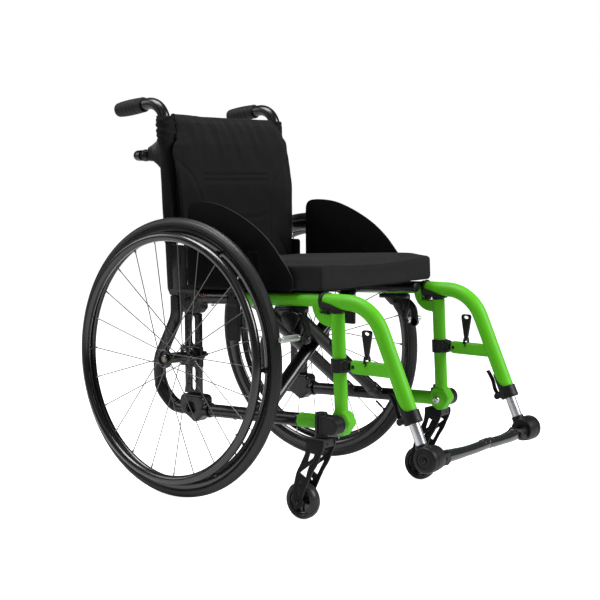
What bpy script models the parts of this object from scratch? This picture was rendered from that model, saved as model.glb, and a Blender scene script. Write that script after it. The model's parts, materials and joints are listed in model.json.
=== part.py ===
"""Folding active wheelchair with a double cross brace, cambered quick-release wheels and swing-away hangers.

Metres, +Z up, the chair faces -Y and the user's left is +X. The origin is on the floor, in the middle.
Heights are above the floor. "Ahead" is a distance in front of the rear axle; a negative one lies behind.
Each side is drawn on the left, at +X, and mirrored for the right.
"""
import math

import bmesh
import bpy
from mathutils import Matrix, Vector

# Facets
tube_sides = 10
wheel_steps = 32

# Clearances
gap = 0.0003                    # between pieces that touch or slide on each other
running_gap = 0.002             # beside a turning wheel

# Side frame
frame_half_width = 0.177        # centre plane of each side frame
frame_tube_radius = 0.0135
lower_tube_height = 0.178       # centre of the lower tube, level with the rear axle
seat_tube_rise = 0.2416         # from the lower tube to the seat tube, square to both
rake_slope = 0.045              # both tubes and the seat rise towards the front
seat_tube_joint_ahead = 0.150   # painted front part meets the black rear part
spigot_length = 0.020
spigot_radius = 0.0105
front_post_clearance = 0.095   # top of the front post ahead of the tyre's front
front_post_lean = 0.050         # metres forward for each metre down
front_post_drop = 0.0071        # top of the front post below the seat tube's rear
knuckle_rise = 0.0175           # above the lower tube
knuckle_radius = 0.0235
sleeve_length = 0.106           # behind the front post
sleeve_radius = 0.0148
gusset_half_thickness = 0.0078
gusset_radius = 0.044
cradle_half_length = 0.012

# Cross brace
hinge_tube_radius = 0.0125
hinge_tube_depth = 0.026        # how far each end sits in its bearing
arm_radius = 0.0125
single_arm_along = 0.190       # along the lower tube, ahead of the rear axle
arm_spacing = 0.039             # from the single arm to each of the twin arms
single_arm_flattening = 1.35
rail_inset = 0.027              # seat rail inboard of the side frame
rail_radius = 0.0105
rail_lift = 0.0018              # centre of the seat rail above that of the seat tube
rail_setback = 0.041            # front of the seat rail behind the front post
rail_rear_ahead = -0.008
brace_bolt_radius = 0.005
brace_bolt_head_radius = 0.009
brace_bolt_head_height = 0.005

# Rear frame
curved_tube_radius = 0.0138
curved_tube_top_ahead = -0.052
curved_tube_waist_drop = 0.0446
curved_tube_bulge_ahead = -0.116
curved_tube_bulge_rise = 0.084  # above the lower tube
curved_tube_foot_ahead = -0.062
curved_tube_bend = 0.045
clamp_front_ahead = 0.048
clamp_rear_ahead = -0.043
clamp_depth = 0.0265            # below the lower tube
clamp_half_thickness = 0.017
casting_front_ahead = 0.024
casting_rear_ahead = -0.0345
casting_drop = 0.0331           # below the seat tube's rear
casting_rise = 0.0149
casting_half_thickness = 0.0105
half_moon_radius = 0.034
half_moon_thickness = 0.005
pivot_bolt_radius = 0.006

# Axle bars and receiver
bar_rise = 0.0375               # above the lower tube
bar_half_thickness = 0.0045
bar_front_ahead = 0.025
bar_rear_ahead = -0.032
bar_slot_width = 0.007
bar_hole_radius = 0.0022
receiver_block_half_length = 0.033
receiver_block_half_height = 0.023
receiver_block_thickness = 0.009
receiver_radius = 0.0125
receiver_flange_radius = 0.018
receiver_inner_reach = 0.080    # inboard of the rim plane, along the axle

# Rear wheels
tyre_seat_radius = 0.2745
tyre_depth = 0.0215             # from the rim's seat to the tread
tyre_radius = 0.0125
camber = math.radians(2.24)
wheel_offset = 0.0584           # rim plane outboard of the side frame
rim_half_width = 0.0093
rim_depth = 0.018
hub_outer_reach = 0.0315
hub_inner_reach = 0.036
hub_dish_depth = 0.003
hub_flange_radius = 0.0205
hub_inner_flange_radius = 0.0175
hub_waist_radius = 0.0115
axle_radius = 0.006
axle_button_radius = 0.009
axle_button_height = 0.0048
spoke_count = 24
spoke_radius = 0.0011
spoke_lead = math.radians(42)
handrim_inset = 0.0188          # inside the rim's seat
handrim_tube_radius = 0.0095
handrim_offset = 0.0265
handrim_post_count = 6
handrim_post_radius = 0.004
handrim_post_inset = 0.0125

# Castors
castor_radius = 0.0375
castor_half_width = 0.012
castor_trail = 0.047
castor_setback = 0.017          # stem behind the top of the front post
castor_offset = 0.029           # stem outboard of the side frame
fork_plate_thickness = 0.004
fork_crown_height = 0.020
fork_crown_half_length = 0.026
fork_foot_radius = 0.0138
fork_hole_radius = 0.0024
fork_hole_places = ((0.0005, 0.0152), (0.0047, 0.0272), (0.0075, 0.0407))   # ahead of and above the axle
castor_bore_radius = 0.0043
stem_radius = 0.006
stem_length = 0.040
housing_drop = 0.008            # below the lower tube
housing_boss_radius = 0.0125
housing_height = 0.0505
housing_arm_radius = 0.0184
housing_arm_thickness = 0.033
knuckle_flat = 0.0115           # flat face of the knuckle, outboard of the side frame

# Hangers
hanger_tube_radius = 0.0155
hanger_rise = 0.022             # centre above the top of the front post
hanger_tail = 0.0285            # behind the top of the front post
hanger_bend = 0.089
hanger_slope = 0.45             # metres forward for each metre down
hanger_end_height = 0.245
hanger_end_reach = 0.1678       # ahead of the top of the front post
crossbar_drop = 0.1235          # below the hanger's top run
crossbar_half_height = 0.013
crossbar_half_thickness = 0.007
latch_radius = 0.0285
latch_half_height = 0.014
saddle_wall = 0.003
saddle_sweep_radius = 0.0384
saddle_length = 0.021           # ahead of the top of the front post
collar_wall = 0.0008
pivot_peg_radius = 0.008
pivot_peg_length = 0.015
release_lever_reach = 0.071     # ahead of the top of the front post
release_lever_height = 0.066
release_lever_top_width = 0.021
release_lever_foot_width = 0.008
release_lever_cheek = 0.003
foot_tube_radius = 0.0105
foot_tube_insertion = 0.075
foot_travel = 0.050
foot_clamp_radius = 0.0180
foot_clamp_length = 0.030
clamp_lever_length = 0.058
clamp_lever_half_width = 0.006
clamp_lever_thickness = 0.0035

# Footrest
foot_joint_lead = 0.0096        # ahead of the hanger's line
foot_joint_height = 0.157
foot_joint_radius = 0.027
foot_joint_outer = 0.028        # outboard face, from the side frame plane
foot_joint_inner = 0.019        # inboard face, from the side frame plane
foot_hinge_offset = 0.035       # flip-up axis, inboard of the side frame plane
foot_hinge_radius = 0.0115
foot_hinge_half_width = 0.016
foot_tongue_half_width = 0.006
foot_bar_radius = 0.0125
foot_bar_drop = 0.005           # below the foot joint
foot_bar_seam = 0.020           # where the two halves meet, towards the user's left
foot_bar_seam_gap = 0.002

# Backrest
cane_radius = 0.0125
cane_offset = 0.004             # outboard of the side frame plane
cane_foot_ahead = -0.058
cane_foot_rise = 0.0154         # above the seat tube's rear, as all rises of the backrest
cane_top_ahead = -0.0795
back_height = 0.4209
cane_bend = 0.045
grip_end_ahead = -0.236
grip_drop = 0.0175
grip_radius = 0.0175
grip_length = 0.096
grip_cap = 0.006
grip_collar_radius = 0.0195
bracket_low_rise = 0.0012
bracket_high_rise = 0.1104
bracket_front_ahead = -0.036
bracket_rear_ahead = -0.071
bracket_half_thickness = 0.015
bracket_bolt_radius = 0.0055
bracket_bolt_rises = (0.0104, 0.0484, 0.0884)
stabiliser_rise = 0.3039
stabiliser_radius = 0.0115
stabiliser_pivot_ahead = -0.138
stabiliser_bar_ahead = -0.172
stabiliser_bend = 0.018
stabiliser_eye_radius = 0.0125
stabiliser_half_width = 0.009
tongue_half_height = 0.0063

# Brakes
brake_plate_offset = 0.004      # inner face, outboard of the side frame plane
brake_plate_thickness = 0.004
brake_pivot_reach = 0.0107      # ahead of the tread at the shoe's height
brake_pivot_drop = 0.0196       # below the seat tube's rear, as all drops of the brake
brake_lever_drop = 0.044
brake_lever_throw = 0.022
brake_knob_radius = 0.009
shoe_pivot_setback = 0.0173     # behind the tread at the shoe's height
shoe_pivot_drop = 0.0216
shoe_drop = 0.0611
shoe_radius = 0.007
shoe_clearance = 0.003          # from the tyre with the brake off
brake_pin_radius = 0.003
brake_cover_thickness = 0.003

# Side guards
guard_half_thickness = 0.0015
guard_receiver_half_depth = 0.0052
guard_receiver_half_width = 0.016
guard_receiver_ahead = 0.134
guard_receiver_drop = 0.0816    # below the seat tube's rear
guard_receiver_rise = 0.0284
guard_tongue_half_width = 0.0125
guard_tongue_lift = 0.012       # above the receiver's low end
guard_clamp_wall = 0.0025
guard_rise = 0.2064             # above the seat tube's rear
guard_rear_ahead = 0.005
guard_setback = 0.003           # front of the guard behind the tyre's front
guard_low_gap = 0.004           # above the seat tube

# Seat and back upholstery
cushion_overhang = 0.006        # beyond the side frame plane
cushion_setback = 0.026         # behind the top of the front post
cushion_rear_ahead = -0.014
cushion_thickness = 0.052
sling_thickness = 0.004
sling_overhang = 0.008          # beyond the rail
back_pad_overhang = 0.009       # beyond the canes
back_pad_low_rise = 0.0504      # above the seat tube's rear
back_pad_shoulder_rise = 0.1204
back_pad_top_rise = 0.3924
back_pad_front_ahead = -0.022
back_pad_rear_ahead = -0.058
back_pad_corner = 0.004
back_pad_narrowing = 0.021      # inboard of the canes, under the shoulder
back_sleeve_radius = 0.0185

# Worked-out heights
seat_level = lower_tube_height + seat_tube_rise
front_post_top_height = seat_level - front_post_drop
knuckle_height = lower_tube_height + knuckle_rise
rail_rise = seat_tube_rise + rail_lift
casting_low = seat_level - casting_drop
casting_high = seat_level + casting_rise
housing_low = lower_tube_height - housing_drop
hanger_height = front_post_top_height + hanger_rise
crossbar_height = hanger_height - crossbar_drop
foot_bar_height = foot_joint_height - foot_bar_drop
cane_foot_height = seat_level + cane_foot_rise
cane_top_height = seat_level + back_height
grip_end_height = cane_top_height - grip_drop
bracket_low = seat_level + bracket_low_rise
bracket_high = seat_level + bracket_high_rise
stabiliser_height = seat_level + stabiliser_rise
brake_pivot_height = seat_level - brake_pivot_drop
shoe_pivot_height = seat_level - shoe_pivot_drop
shoe_height = seat_level - shoe_drop
guard_receiver_low = seat_level - guard_receiver_drop
guard_receiver_high = seat_level + guard_receiver_rise
guard_top = seat_level + guard_rise
back_pad_low = seat_level + back_pad_low_rise
back_pad_shoulder = seat_level + back_pad_shoulder_rise
back_pad_top = seat_level + back_pad_top_rise
bar_low = lower_tube_height + bar_rise
clamp_high = bar_low - gap
half_moon_height = bracket_low - gap
bar_high = casting_low - gap

# Worked-out places along and across
wheel_radius = tyre_seat_radius + tyre_depth
axle_height = (wheel_radius - tyre_radius) * math.cos(camber) + tyre_radius
tread_ahead = math.sqrt(wheel_radius ** 2 - (shoe_height - axle_height) ** 2)
front_post_top_ahead = wheel_radius + front_post_clearance
knuckle_ahead = front_post_top_ahead + (front_post_top_height - knuckle_height) * front_post_lean
sleeve_rear_ahead = front_post_top_ahead - sleeve_length
rail_front_ahead = front_post_top_ahead - rail_setback
castor_stem_ahead = front_post_top_ahead - castor_setback
hanger_rear_ahead = front_post_top_ahead - hanger_tail
hanger_end_ahead = front_post_top_ahead + hanger_end_reach
saddle_front_ahead = front_post_top_ahead + saddle_length
release_lever_ahead = front_post_top_ahead + release_lever_reach
foot_drop = hanger_end_height - foot_joint_height
foot_joint_ahead = hanger_end_ahead + foot_drop * hanger_slope + foot_joint_lead
brake_pivot_ahead = tread_ahead + brake_pivot_reach
shoe_pivot_ahead = tread_ahead - shoe_pivot_setback
guard_front_ahead = wheel_radius - guard_setback
cushion_front_ahead = front_post_top_ahead - cushion_setback
axle_y = (foot_joint_ahead + foot_joint_radius - wheel_radius) / 2
wheel_x = frame_half_width + wheel_offset
rail_half_spacing = frame_half_width - rail_inset
cushion_half_width = frame_half_width + cushion_overhang
sling_half_width = rail_half_spacing + sling_overhang
castor_x = frame_half_width + castor_offset
cane_x = frame_half_width + cane_offset
back_pad_half_width = cane_x + back_pad_overhang
back_pad_narrow_half_width = cane_x - back_pad_narrowing
hinge_x = frame_half_width - foot_hinge_offset
guard_x = frame_half_width + frame_tube_radius + gap + guard_receiver_half_depth
rake = math.atan(rake_slope)
seat_shift = rail_rise * math.sin(rake)     # square to the rake, the seat leans back over the lower tube

parts = bpy.data.collections.new("active_wheelchair")
workshop = bpy.data.collections.new("workshop")


def at(x, ahead, height):
    return Vector((x, axle_y - ahead, height))


def on_rake(x, ahead, rise):
    """A point at a distance ahead, on a line that lies at a rise square to the raked lower tube."""
    return at(x, ahead, lower_tube_height + ahead * rake_slope + rise / math.cos(rake))


def square_to_rake(x, along, rise):
    """A point given along the raked lower tube and square to it, as the cross brace folds."""
    return rake_frame() @ Vector((x, -along, rise))


def on_wheel(up, forward, outboard):
    """A point in the cambered wheel's own frame."""
    return wheel_frame() @ Vector((up, forward, outboard))


def wheel_frame():
    """Local Z is the axle, outboard; local X is up in the plane of the rim."""
    up = Vector((-math.sin(camber), 0, math.cos(camber)))
    out = Vector((math.cos(camber), 0, math.sin(camber)))
    frame = Matrix((up, Vector((0, -1, 0)), out)).transposed().to_4x4()
    frame.translation = at(wheel_x, 0, axle_height)
    return frame


def post_ahead(height):
    """How far ahead the leaning front post's axis is at a height."""
    return front_post_top_ahead + (front_post_top_height - height) * front_post_lean


def hanger_ahead(height):
    """How far ahead the straight lower part of the hanger is at a height."""
    return hanger_end_ahead - (height - hanger_end_height) * hanger_slope


# Shapes

def shape(mesh):
    """Puts a mesh in the workshop as a plain object."""
    made = bpy.data.objects.new("shape", mesh)
    workshop.objects.link(made)
    return made


def from_bmesh(bm, frame=None):
    bmesh.ops.recalc_face_normals(bm, faces=bm.faces)
    mesh = bpy.data.meshes.new("shape")
    bm.to_mesh(mesh)
    bm.free()
    if frame is not None:
        mesh.transform(frame)
    return shape(mesh)


def as_mesh(source):
    """Turns a curve, or an object with modifiers, into a plain closed mesh in world space."""
    bpy.context.view_layer.update()
    graph = bpy.context.evaluated_depsgraph_get()
    mesh = bpy.data.meshes.new_from_object(source.evaluated_get(graph))
    mesh.transform(source.matrix_world)
    bpy.data.objects.remove(source)
    bm = bmesh.new()
    bm.from_mesh(mesh)
    bmesh.ops.remove_doubles(bm, verts=bm.verts, dist=0.00002)
    bmesh.ops.recalc_face_normals(bm, faces=bm.faces)
    bm.to_mesh(mesh)
    bm.free()
    return shape(mesh)


def combine(first, operation, others):
    for other in others:
        modifier = first.modifiers.new("combine", "BOOLEAN")
        modifier.operation = operation
        modifier.solver = "EXACT"
        modifier.object = other
        first = as_mesh(first)
        bpy.data.objects.remove(other)
    return first


def join(first, *others):
    return combine(first, "UNION", others)


def cut(first, *others):
    return combine(first, "DIFFERENCE", others)


def common(first, *others):
    return combine(first, "INTERSECT", others)


def soften(source, width, segments=1):
    """Bevels the sharp edges."""
    modifier = source.modifiers.new("soften", "BEVEL")
    modifier.width = width
    modifier.segments = segments
    modifier.limit_method = "ANGLE"
    modifier.angle_limit = math.radians(40)
    return as_mesh(source)


def turning_bore(radius, sides=tube_sides):
    """Radius of a faceted bore in which a faceted rod of this radius turns freely."""
    return radius / math.cos(math.pi / sides) + gap


def rod(start, end, radius, sides=tube_sides):
    """A straight round bar between two points."""
    axis = end - start
    bm = bmesh.new()
    bmesh.ops.create_cone(bm, cap_ends=True, segments=sides, radius1=radius, radius2=radius,
                          depth=axis.length)
    turn = axis.to_track_quat("Z", "Y").to_matrix().to_4x4()
    return from_bmesh(bm, Matrix.Translation((start + end) / 2) @ turn)


def ball(centre, radius, segments=12, rings=6):
    bm = bmesh.new()
    bmesh.ops.create_uvsphere(bm, u_segments=segments, v_segments=rings, radius=radius)
    return from_bmesh(bm, Matrix.Translation(centre))


def block(low, high, soft=0, turn=None):
    """A box between two corners; with turn, the corners are in that frame."""
    size = Vector(high) - Vector(low)
    bm = bmesh.new()
    bmesh.ops.create_cube(bm, size=1)
    centre = (Vector(low) + Vector(high)) / 2
    frame = Matrix.Translation(centre) @ Matrix.Diagonal((abs(size.x), abs(size.y), abs(size.z), 1))
    made = from_bmesh(bm, frame)
    if soft:
        made = soften(made, soft)
    if turn is not None:
        made.data.transform(turn)
    return made


def rake_frame():
    """The frame of the raked tubes: local Y runs rearwards along them, local Z is square to them."""
    return Matrix.Translation(at(0, 0, lower_tube_height)) @ Matrix.Rotation(-rake, 4, "X")


def rounded(points, radius, steps=3):
    """A polyline with its inner corners turned into arcs."""
    line = [points[0]]
    for before, corner, after in zip(points, points[1:], points[2:]):
        back = (before - corner).normalized()
        on = (after - corner).normalized()
        half = back.angle(on) / 2
        reach = radius / math.tan(half)
        centre = corner + (back + on).normalized() * (radius / math.sin(half))
        first = corner + back * reach - centre
        last = corner + on * reach - centre
        swing = first.angle(last)
        for step in range(steps + 1):
            share = step / steps
            a = math.sin((1 - share) * swing) / math.sin(swing)
            b = math.sin(share * swing) / math.sin(swing)
            line.append(centre + first * a + last * b)
    return line + [points[-1]]


def tube(points, radius):
    """A round bar along a polyline."""
    data = bpy.data.curves.new("tube", "CURVE")
    data.dimensions = "3D"
    data.bevel_depth = radius
    data.bevel_resolution = tube_sides // 2 - 2
    data.resolution_u = 1
    data.use_fill_caps = True
    spline = data.splines.new("POLY")
    spline.points.add(len(points) - 1)
    for point, place in zip(spline.points, points):
        point.co = (*place, 1)
    made = bpy.data.objects.new("tube", data)
    workshop.objects.link(made)
    return as_mesh(made)


def plate(outline, x_low, x_high, holes=()):
    """A flat plate in the side plane. Outlines and holes are lists of (ahead, height)."""
    data = bpy.data.curves.new("plate", "CURVE")
    data.dimensions = "2D"
    data.fill_mode = "BOTH"
    data.extrude = (x_high - x_low) / 2
    data.resolution_u = 1
    for line in (outline, *holes):
        spline = data.splines.new("POLY")
        spline.points.add(len(line) - 1)
        for point, (ahead, height) in zip(spline.points, line):
            point.co = (axle_y - ahead, height, 0, 1)
        spline.use_cyclic_u = True
    made = bpy.data.objects.new("plate", data)
    workshop.objects.link(made)
    side_plane = Matrix(((0, 0, 1, 0), (1, 0, 0, 0), (0, 1, 0, 0), (0, 0, 0, 1)))
    made.matrix_world = Matrix.Translation(((x_low + x_high) / 2, 0, 0)) @ side_plane
    return as_mesh(made)


def arc(ahead, height, radius, start, end, steps):
    """Points of an arc in the side plane; angles in degrees, 0 is forward and 90 is up."""
    turns = [math.radians(start + (end - start) * step / steps) for step in range(steps + 1)]
    return [(ahead + radius * math.cos(turn), height + radius * math.sin(turn)) for turn in turns]


def circle(ahead, height, radius, sides=8):
    return arc(ahead, height, radius, 0, 360 - 360 / sides, sides - 1)


def turned(profile, frame, steps, ring=False):
    """Revolves (radius, height) pairs about the frame's Z axis, from the top down the outside."""
    mesh = bpy.data.meshes.new("profile")
    edges = [(index, index + 1) for index in range(len(profile) - 1)]
    if ring:
        edges.append((len(profile) - 1, 0))
    mesh.from_pydata([(radius, 0, height) for radius, height in profile], edges, [])
    made = shape(mesh)
    screw = made.modifiers.new("turn", "SCREW")
    screw.steps = steps
    screw.render_steps = steps
    screw.use_merge_vertices = True
    screw.merge_threshold = 0.00002
    made.matrix_world = frame
    return as_mesh(made)


# Naming and placing

def material(name, colour, roughness, metallic=0.0):
    made = bpy.data.materials.new(name)
    made.use_nodes = True
    shader = made.node_tree.nodes["Principled BSDF"]
    shader.inputs["Base Color"].default_value = (*colour, 1)
    shader.inputs["Roughness"].default_value = roughness
    shader.inputs["Metallic"].default_value = metallic
    return made


def side_name(side):
    return "left" if side > 0 else "right"


def mirrored(point, side):
    return Vector((point[0] * side, point[1], point[2]))


def finish(name, made, surface, origin, holder=None, side=1):
    """Names a piece, mirrors it for the right side and puts its origin where it is carried or turns."""
    mesh = made.data
    if side < 0:
        mesh.transform(Matrix.Diagonal((-1, 1, 1, 1)))
        mesh.flip_normals()
    place = mirrored(origin, side)
    mesh.transform(Matrix.Translation(-place))
    mesh.shade_smooth()
    mesh.set_sharp_from_angle(angle=math.radians(35))
    mesh.materials.clear()
    mesh.materials.append(surface)
    mesh.name = name
    piece = bpy.data.objects.new(name, mesh)
    parts.objects.link(piece)
    bpy.data.objects.remove(made)
    piece.location = place
    if holder is not None:
        piece.parent = holder
        piece.matrix_parent_inverse = Matrix.Translation(-holder.location)
    return piece


def axis_empty(name, point, side=1):
    """An empty on a joint's axis, which the pieces that turn there hang from."""
    holder = bpy.data.objects.new(name + "_" + side_name(side), None)
    holder.empty_display_size = 0.03
    holder.location = mirrored(point, side)
    parts.objects.link(holder)
    return holder


# Side frame

def side_frame(side, paint):
    """Painted front part: seat tube, gusset, leaning front post, knuckle and lower sleeve."""
    x = frame_half_width
    seat_tube = rod(on_rake(x, seat_tube_joint_ahead + gap, seat_tube_rise),
                    on_rake(x, front_post_top_ahead - 0.034, seat_tube_rise), frame_tube_radius)
    bore = rod(on_rake(x, seat_tube_joint_ahead - gap, seat_tube_rise),
               on_rake(x, seat_tube_joint_ahead + spigot_length + gap * 2, seat_tube_rise),
               spigot_radius + gap)
    in_tube = on_rake(x, front_post_top_ahead - 0.060, seat_tube_rise).z
    post_top = front_post_top_height - 0.0025
    top = front_post_top_ahead
    gusset = plate([(top - 0.059, in_tube), (top - 0.0395, in_tube), (top - 0.0395, post_top),
                    (top, post_top),
                    (top, post_top - 0.026)] + arc(top - 0.016, post_top + 0.019, gusset_radius, 270, 190,
                                                   4),
                   x - gusset_half_thickness, x + gusset_half_thickness)
    post_foot = at(x, knuckle_ahead, knuckle_height)
    post_head = at(x, front_post_top_ahead, front_post_top_height)
    post = rod(post_foot, post_head, frame_tube_radius)
    peg_bore = rod(post_head + (post_foot - post_head).normalized() * (pivot_peg_length + gap),
                   post_head + (post_head - post_foot).normalized() * 0.01, turning_bore(pivot_peg_radius))
    knuckle = ball(post_foot, knuckle_radius)
    sleeve = rod(on_rake(x, sleeve_rear_ahead, 0), on_rake(x, knuckle_ahead, 0), sleeve_radius)
    sleeve_bore = rod(on_rake(x, sleeve_rear_ahead - 0.01, 0),
                      on_rake(x, sleeve_rear_ahead + hinge_tube_depth + gap, 0),
                      turning_bore(hinge_tube_radius))
    made = join(seat_tube, gusset, post, knuckle, sleeve)
    flat = block(at(x + knuckle_flat, castor_stem_ahead - housing_boss_radius - gap, knuckle_height - 0.1),
                 at(x + 0.05, knuckle_ahead + 0.05, knuckle_height + 0.1))
    sky = front_post_top_height + 0.09
    sweep = rod(post_head, at(x, post_ahead(sky), sky), turning_bore(saddle_sweep_radius, 20), 20)
    made = join(cut(made, bore, peg_bore, sleeve_bore, flat, sweep), cradle(sleeve_rear_ahead + 0.005))
    return finish("side_frame_" + side_name(side), made, paint, at(x, front_post_top_ahead, 0.43), None,
                  side)


def cradle(ahead):
    """The hook on the seat tube that the seat rail lies in."""
    x = frame_half_width
    frame = rake_frame()
    along = ahead + seat_shift
    low = Vector((rail_half_spacing - rail_radius * 0.5, -along - cradle_half_length,
                  seat_tube_rise - frame_tube_radius * 0.75))
    high = Vector((x - frame_tube_radius * 0.6, -along + cradle_half_length, rail_rise - 0.001))
    seat = rod(on_rake(rail_half_spacing, ahead - 0.05, rail_rise),
               on_rake(rail_half_spacing, ahead + 0.05, rail_rise), rail_radius + gap)
    return cut(block(low, high, 0, frame), seat)


def rear_frame(side, paint):
    """Black rear part: seat tube, upper casting, curved tube and the clamp that bears the hinge tube."""
    x = frame_half_width
    seat_tube = rod(on_rake(x, 0, seat_tube_rise), on_rake(x, seat_tube_joint_ahead, seat_tube_rise),
                    frame_tube_radius)
    spigot = rod(on_rake(x, seat_tube_joint_ahead - 0.01, seat_tube_rise),
                 on_rake(x, seat_tube_joint_ahead + spigot_length, seat_tube_rise), spigot_radius)
    casting = block(at(x - casting_half_thickness, casting_front_ahead, casting_low),
                    at(x + casting_half_thickness, casting_rear_ahead, casting_high))
    moon_x = x + casting_half_thickness
    half_moon = plate(arc(-0.0145, half_moon_height, half_moon_radius, 180, 360, 10),
                      moon_x - 0.012, moon_x + half_moon_thickness)
    bolt_height = half_moon_height - 0.006
    bolt = rod(at(moon_x, -0.0145, bolt_height), at(moon_x + half_moon_thickness + 0.003, -0.0145,
                                                    bolt_height),
               pivot_bolt_radius, 8)
    line = [at(x, curved_tube_top_ahead, bracket_low - gap),
            at(x, curved_tube_top_ahead, seat_level - curved_tube_waist_drop),
            at(x, curved_tube_bulge_ahead, lower_tube_height + curved_tube_bulge_rise),
            on_rake(x, curved_tube_foot_ahead, 0), on_rake(x, clamp_rear_ahead + 0.02, 0)]
    curved = tube(rounded(line, curved_tube_bend), curved_tube_radius)
    front = clamp_front_ahead
    rear = clamp_rear_ahead
    level = lower_tube_height
    clamp = plate([(front, level - 0.006), (front, level + 0.027), (front - 0.010, clamp_high),
                   (rear + 0.010, clamp_high), (rear, level + 0.022), (rear, level - 0.011),
                   (-0.022, level - 0.015), (-0.005, level - clamp_depth), (0.005, level - clamp_depth),
                   (0.025, level - 0.015)], x - clamp_half_thickness, x + clamp_half_thickness)
    recess = rod(at(x + clamp_half_thickness - 0.003, -0.010, level + 0.010),
                 at(x + clamp_half_thickness + 0.01, -0.010, level + 0.010), 0.012, 8)
    hinge_bore = rod(on_rake(x, clamp_front_ahead + 0.01, 0),
                     on_rake(x, clamp_front_ahead - hinge_tube_depth - gap, 0),
                     turning_bore(hinge_tube_radius))
    made = join(casting, half_moon, bolt, seat_tube, spigot, curved)
    made = join(made, cut(clamp, recess), cradle(0.10))
    made = cut(made, hinge_bore)
    return finish("rear_frame_" + side_name(side), made, paint, at(x, 0, half_moon_height), None, side)


def axle_bar(side, paint):
    """Slotted plate that the axle receiver is bolted to, with two rows of height holes."""
    x = frame_half_width
    slot_ahead = (bar_front_ahead + bar_rear_ahead) / 2
    outline = [(bar_front_ahead, bar_low), (bar_front_ahead, bar_high), (bar_rear_ahead, bar_high),
               (bar_rear_ahead, bar_low)]
    receiver_height = axle_height - wheel_offset * math.tan(camber)
    low_slot = receiver_height - receiver_block_half_height - 0.001
    high_slot = receiver_height + receiver_block_half_height + 0.001
    half = bar_slot_width / 2
    holes = [circle(0, receiver_height, receiver_radius + 3 * gap, tube_sides)]
    for low, high in ((bar_low + 0.007, low_slot), (high_slot, bar_high - 0.006)):
        holes.append([(slot_ahead - half, low), (slot_ahead - half, high), (slot_ahead + half, high),
                      (slot_ahead + half, low)])
        for row in (bar_rear_ahead, bar_front_ahead):
            row_ahead = (row + slot_ahead) / 2
            holes.append(circle(row_ahead, (low + high) / 2, bar_hole_radius, 6))
    made = plate(outline, x - bar_half_thickness, x + bar_half_thickness, holes)
    return finish("axle_bar_" + side_name(side), made, paint, at(x, slot_ahead, bar_low), None, side)


def axle_receiver(side, paint):
    """Block bolted to the bars, with the sleeve that the quick-release axle plugs into."""
    x = frame_half_width
    face = x + bar_half_thickness + gap
    centre = axle_height - wheel_offset * math.tan(camber)
    body = block(at(face, receiver_block_half_length, centre - receiver_block_half_height),
                 at(face + receiver_block_thickness, -receiver_block_half_length,
                    centre + receiver_block_half_height), 0.002)
    sleeve = rod(on_wheel(0, 0, -hub_inner_reach - gap), on_wheel(0, 0, -receiver_inner_reach),
                 receiver_radius)
    nut = rod(at(x - bar_half_thickness - gap, 0, centre), at(x - bar_half_thickness - 0.006, 0, centre),
              receiver_flange_radius, 6)
    bolt = rod(at(face + 0.004, receiver_block_half_length - 0.005, centre + 0.008),
               at(face + 0.004, receiver_block_half_length + 0.014, centre + 0.008), 0.0035, 6)
    bore = rod(on_wheel(0, 0, 0), on_wheel(0, 0, -receiver_inner_reach - 0.01), axle_radius + gap)
    made = cut(join(body, sleeve, nut, bolt), bore)
    return finish("axle_receiver_" + side_name(side), made, paint, at(x, 0, centre), None, side)


# Rear wheel

def rear_wheel(side, rubber, rim_black, rail_black, steel):
    """Quick-release axle, and the tyre, spoked wheel and handrim that spin on it."""
    frame = wheel_frame()
    hub = axis_empty("rear_axle_axis", frame.translation, side)
    word = side_name(side)
    made = turned(axle_profile(), frame, 10)
    finish("quick_release_axle_" + word, made, steel, frame.translation, hub, side)
    finish("rear_tyre_" + word, turned(tyre_profile(), frame, wheel_steps, True), rubber, frame.translation,
           hub, side)
    finish("spoked_wheel_" + word, spoked_wheel(frame), rim_black, frame.translation, hub, side)
    finish("handrim_" + word, handrim(frame), rail_black, frame.translation, hub, side)


def axle_profile():
    seat = hub_outer_reach - hub_dish_depth + gap
    top = seat + axle_button_height
    return [(0, top), (axle_button_radius - 0.0015, top), (axle_button_radius, top - 0.0015),
            (axle_button_radius, seat), (axle_radius, seat), (axle_radius, gap - receiver_inner_reach),
            (0, gap - receiver_inner_reach)]


def tyre_profile():
    """A circle flattened where it sits on the rim."""
    centre = wheel_radius - tyre_radius
    flat = math.acos((tyre_seat_radius - centre) / tyre_radius)
    angles = [flat - flat * step / 3 for step in range(7)]
    return [(centre + tyre_radius * math.cos(angle), tyre_radius * math.sin(angle)) for angle in angles]


def spoked_wheel(frame):
    """Rim, hub and crossed steel spokes, laced from two flanges."""
    seat = tyre_seat_radius - gap
    inner = seat - rim_depth
    rim = turned([(seat, rim_half_width), (seat, -rim_half_width), (inner + 0.004, 0.001 - rim_half_width),
                  (inner, 0), (inner + 0.004, rim_half_width - 0.001)], frame, wheel_steps, True)
    bore = axle_radius + gap
    dish = hub_outer_reach - hub_dish_depth
    hub = turned([(hub_flange_radius, hub_outer_reach), (hub_flange_radius, hub_outer_reach - 0.005),
                  (hub_waist_radius, hub_outer_reach - 0.010), (hub_waist_radius, 0.010 - hub_inner_reach),
                  (hub_inner_flange_radius, 0.007 - hub_inner_reach),
                  (hub_inner_flange_radius, 0.003 - hub_inner_reach), (hub_waist_radius, -hub_inner_reach),
                  (bore, -hub_inner_reach), (bore, dish), (axle_button_radius + 0.001, dish)], frame, 12,
                 True)
    made = hub
    groups = []
    for flange in range(2):
        for lead in (-1, 1):
            groups.append(spoke_group(frame, flange, lead))
    for group in groups:
        made = join(made, group)
    return join(made, rim)


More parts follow.
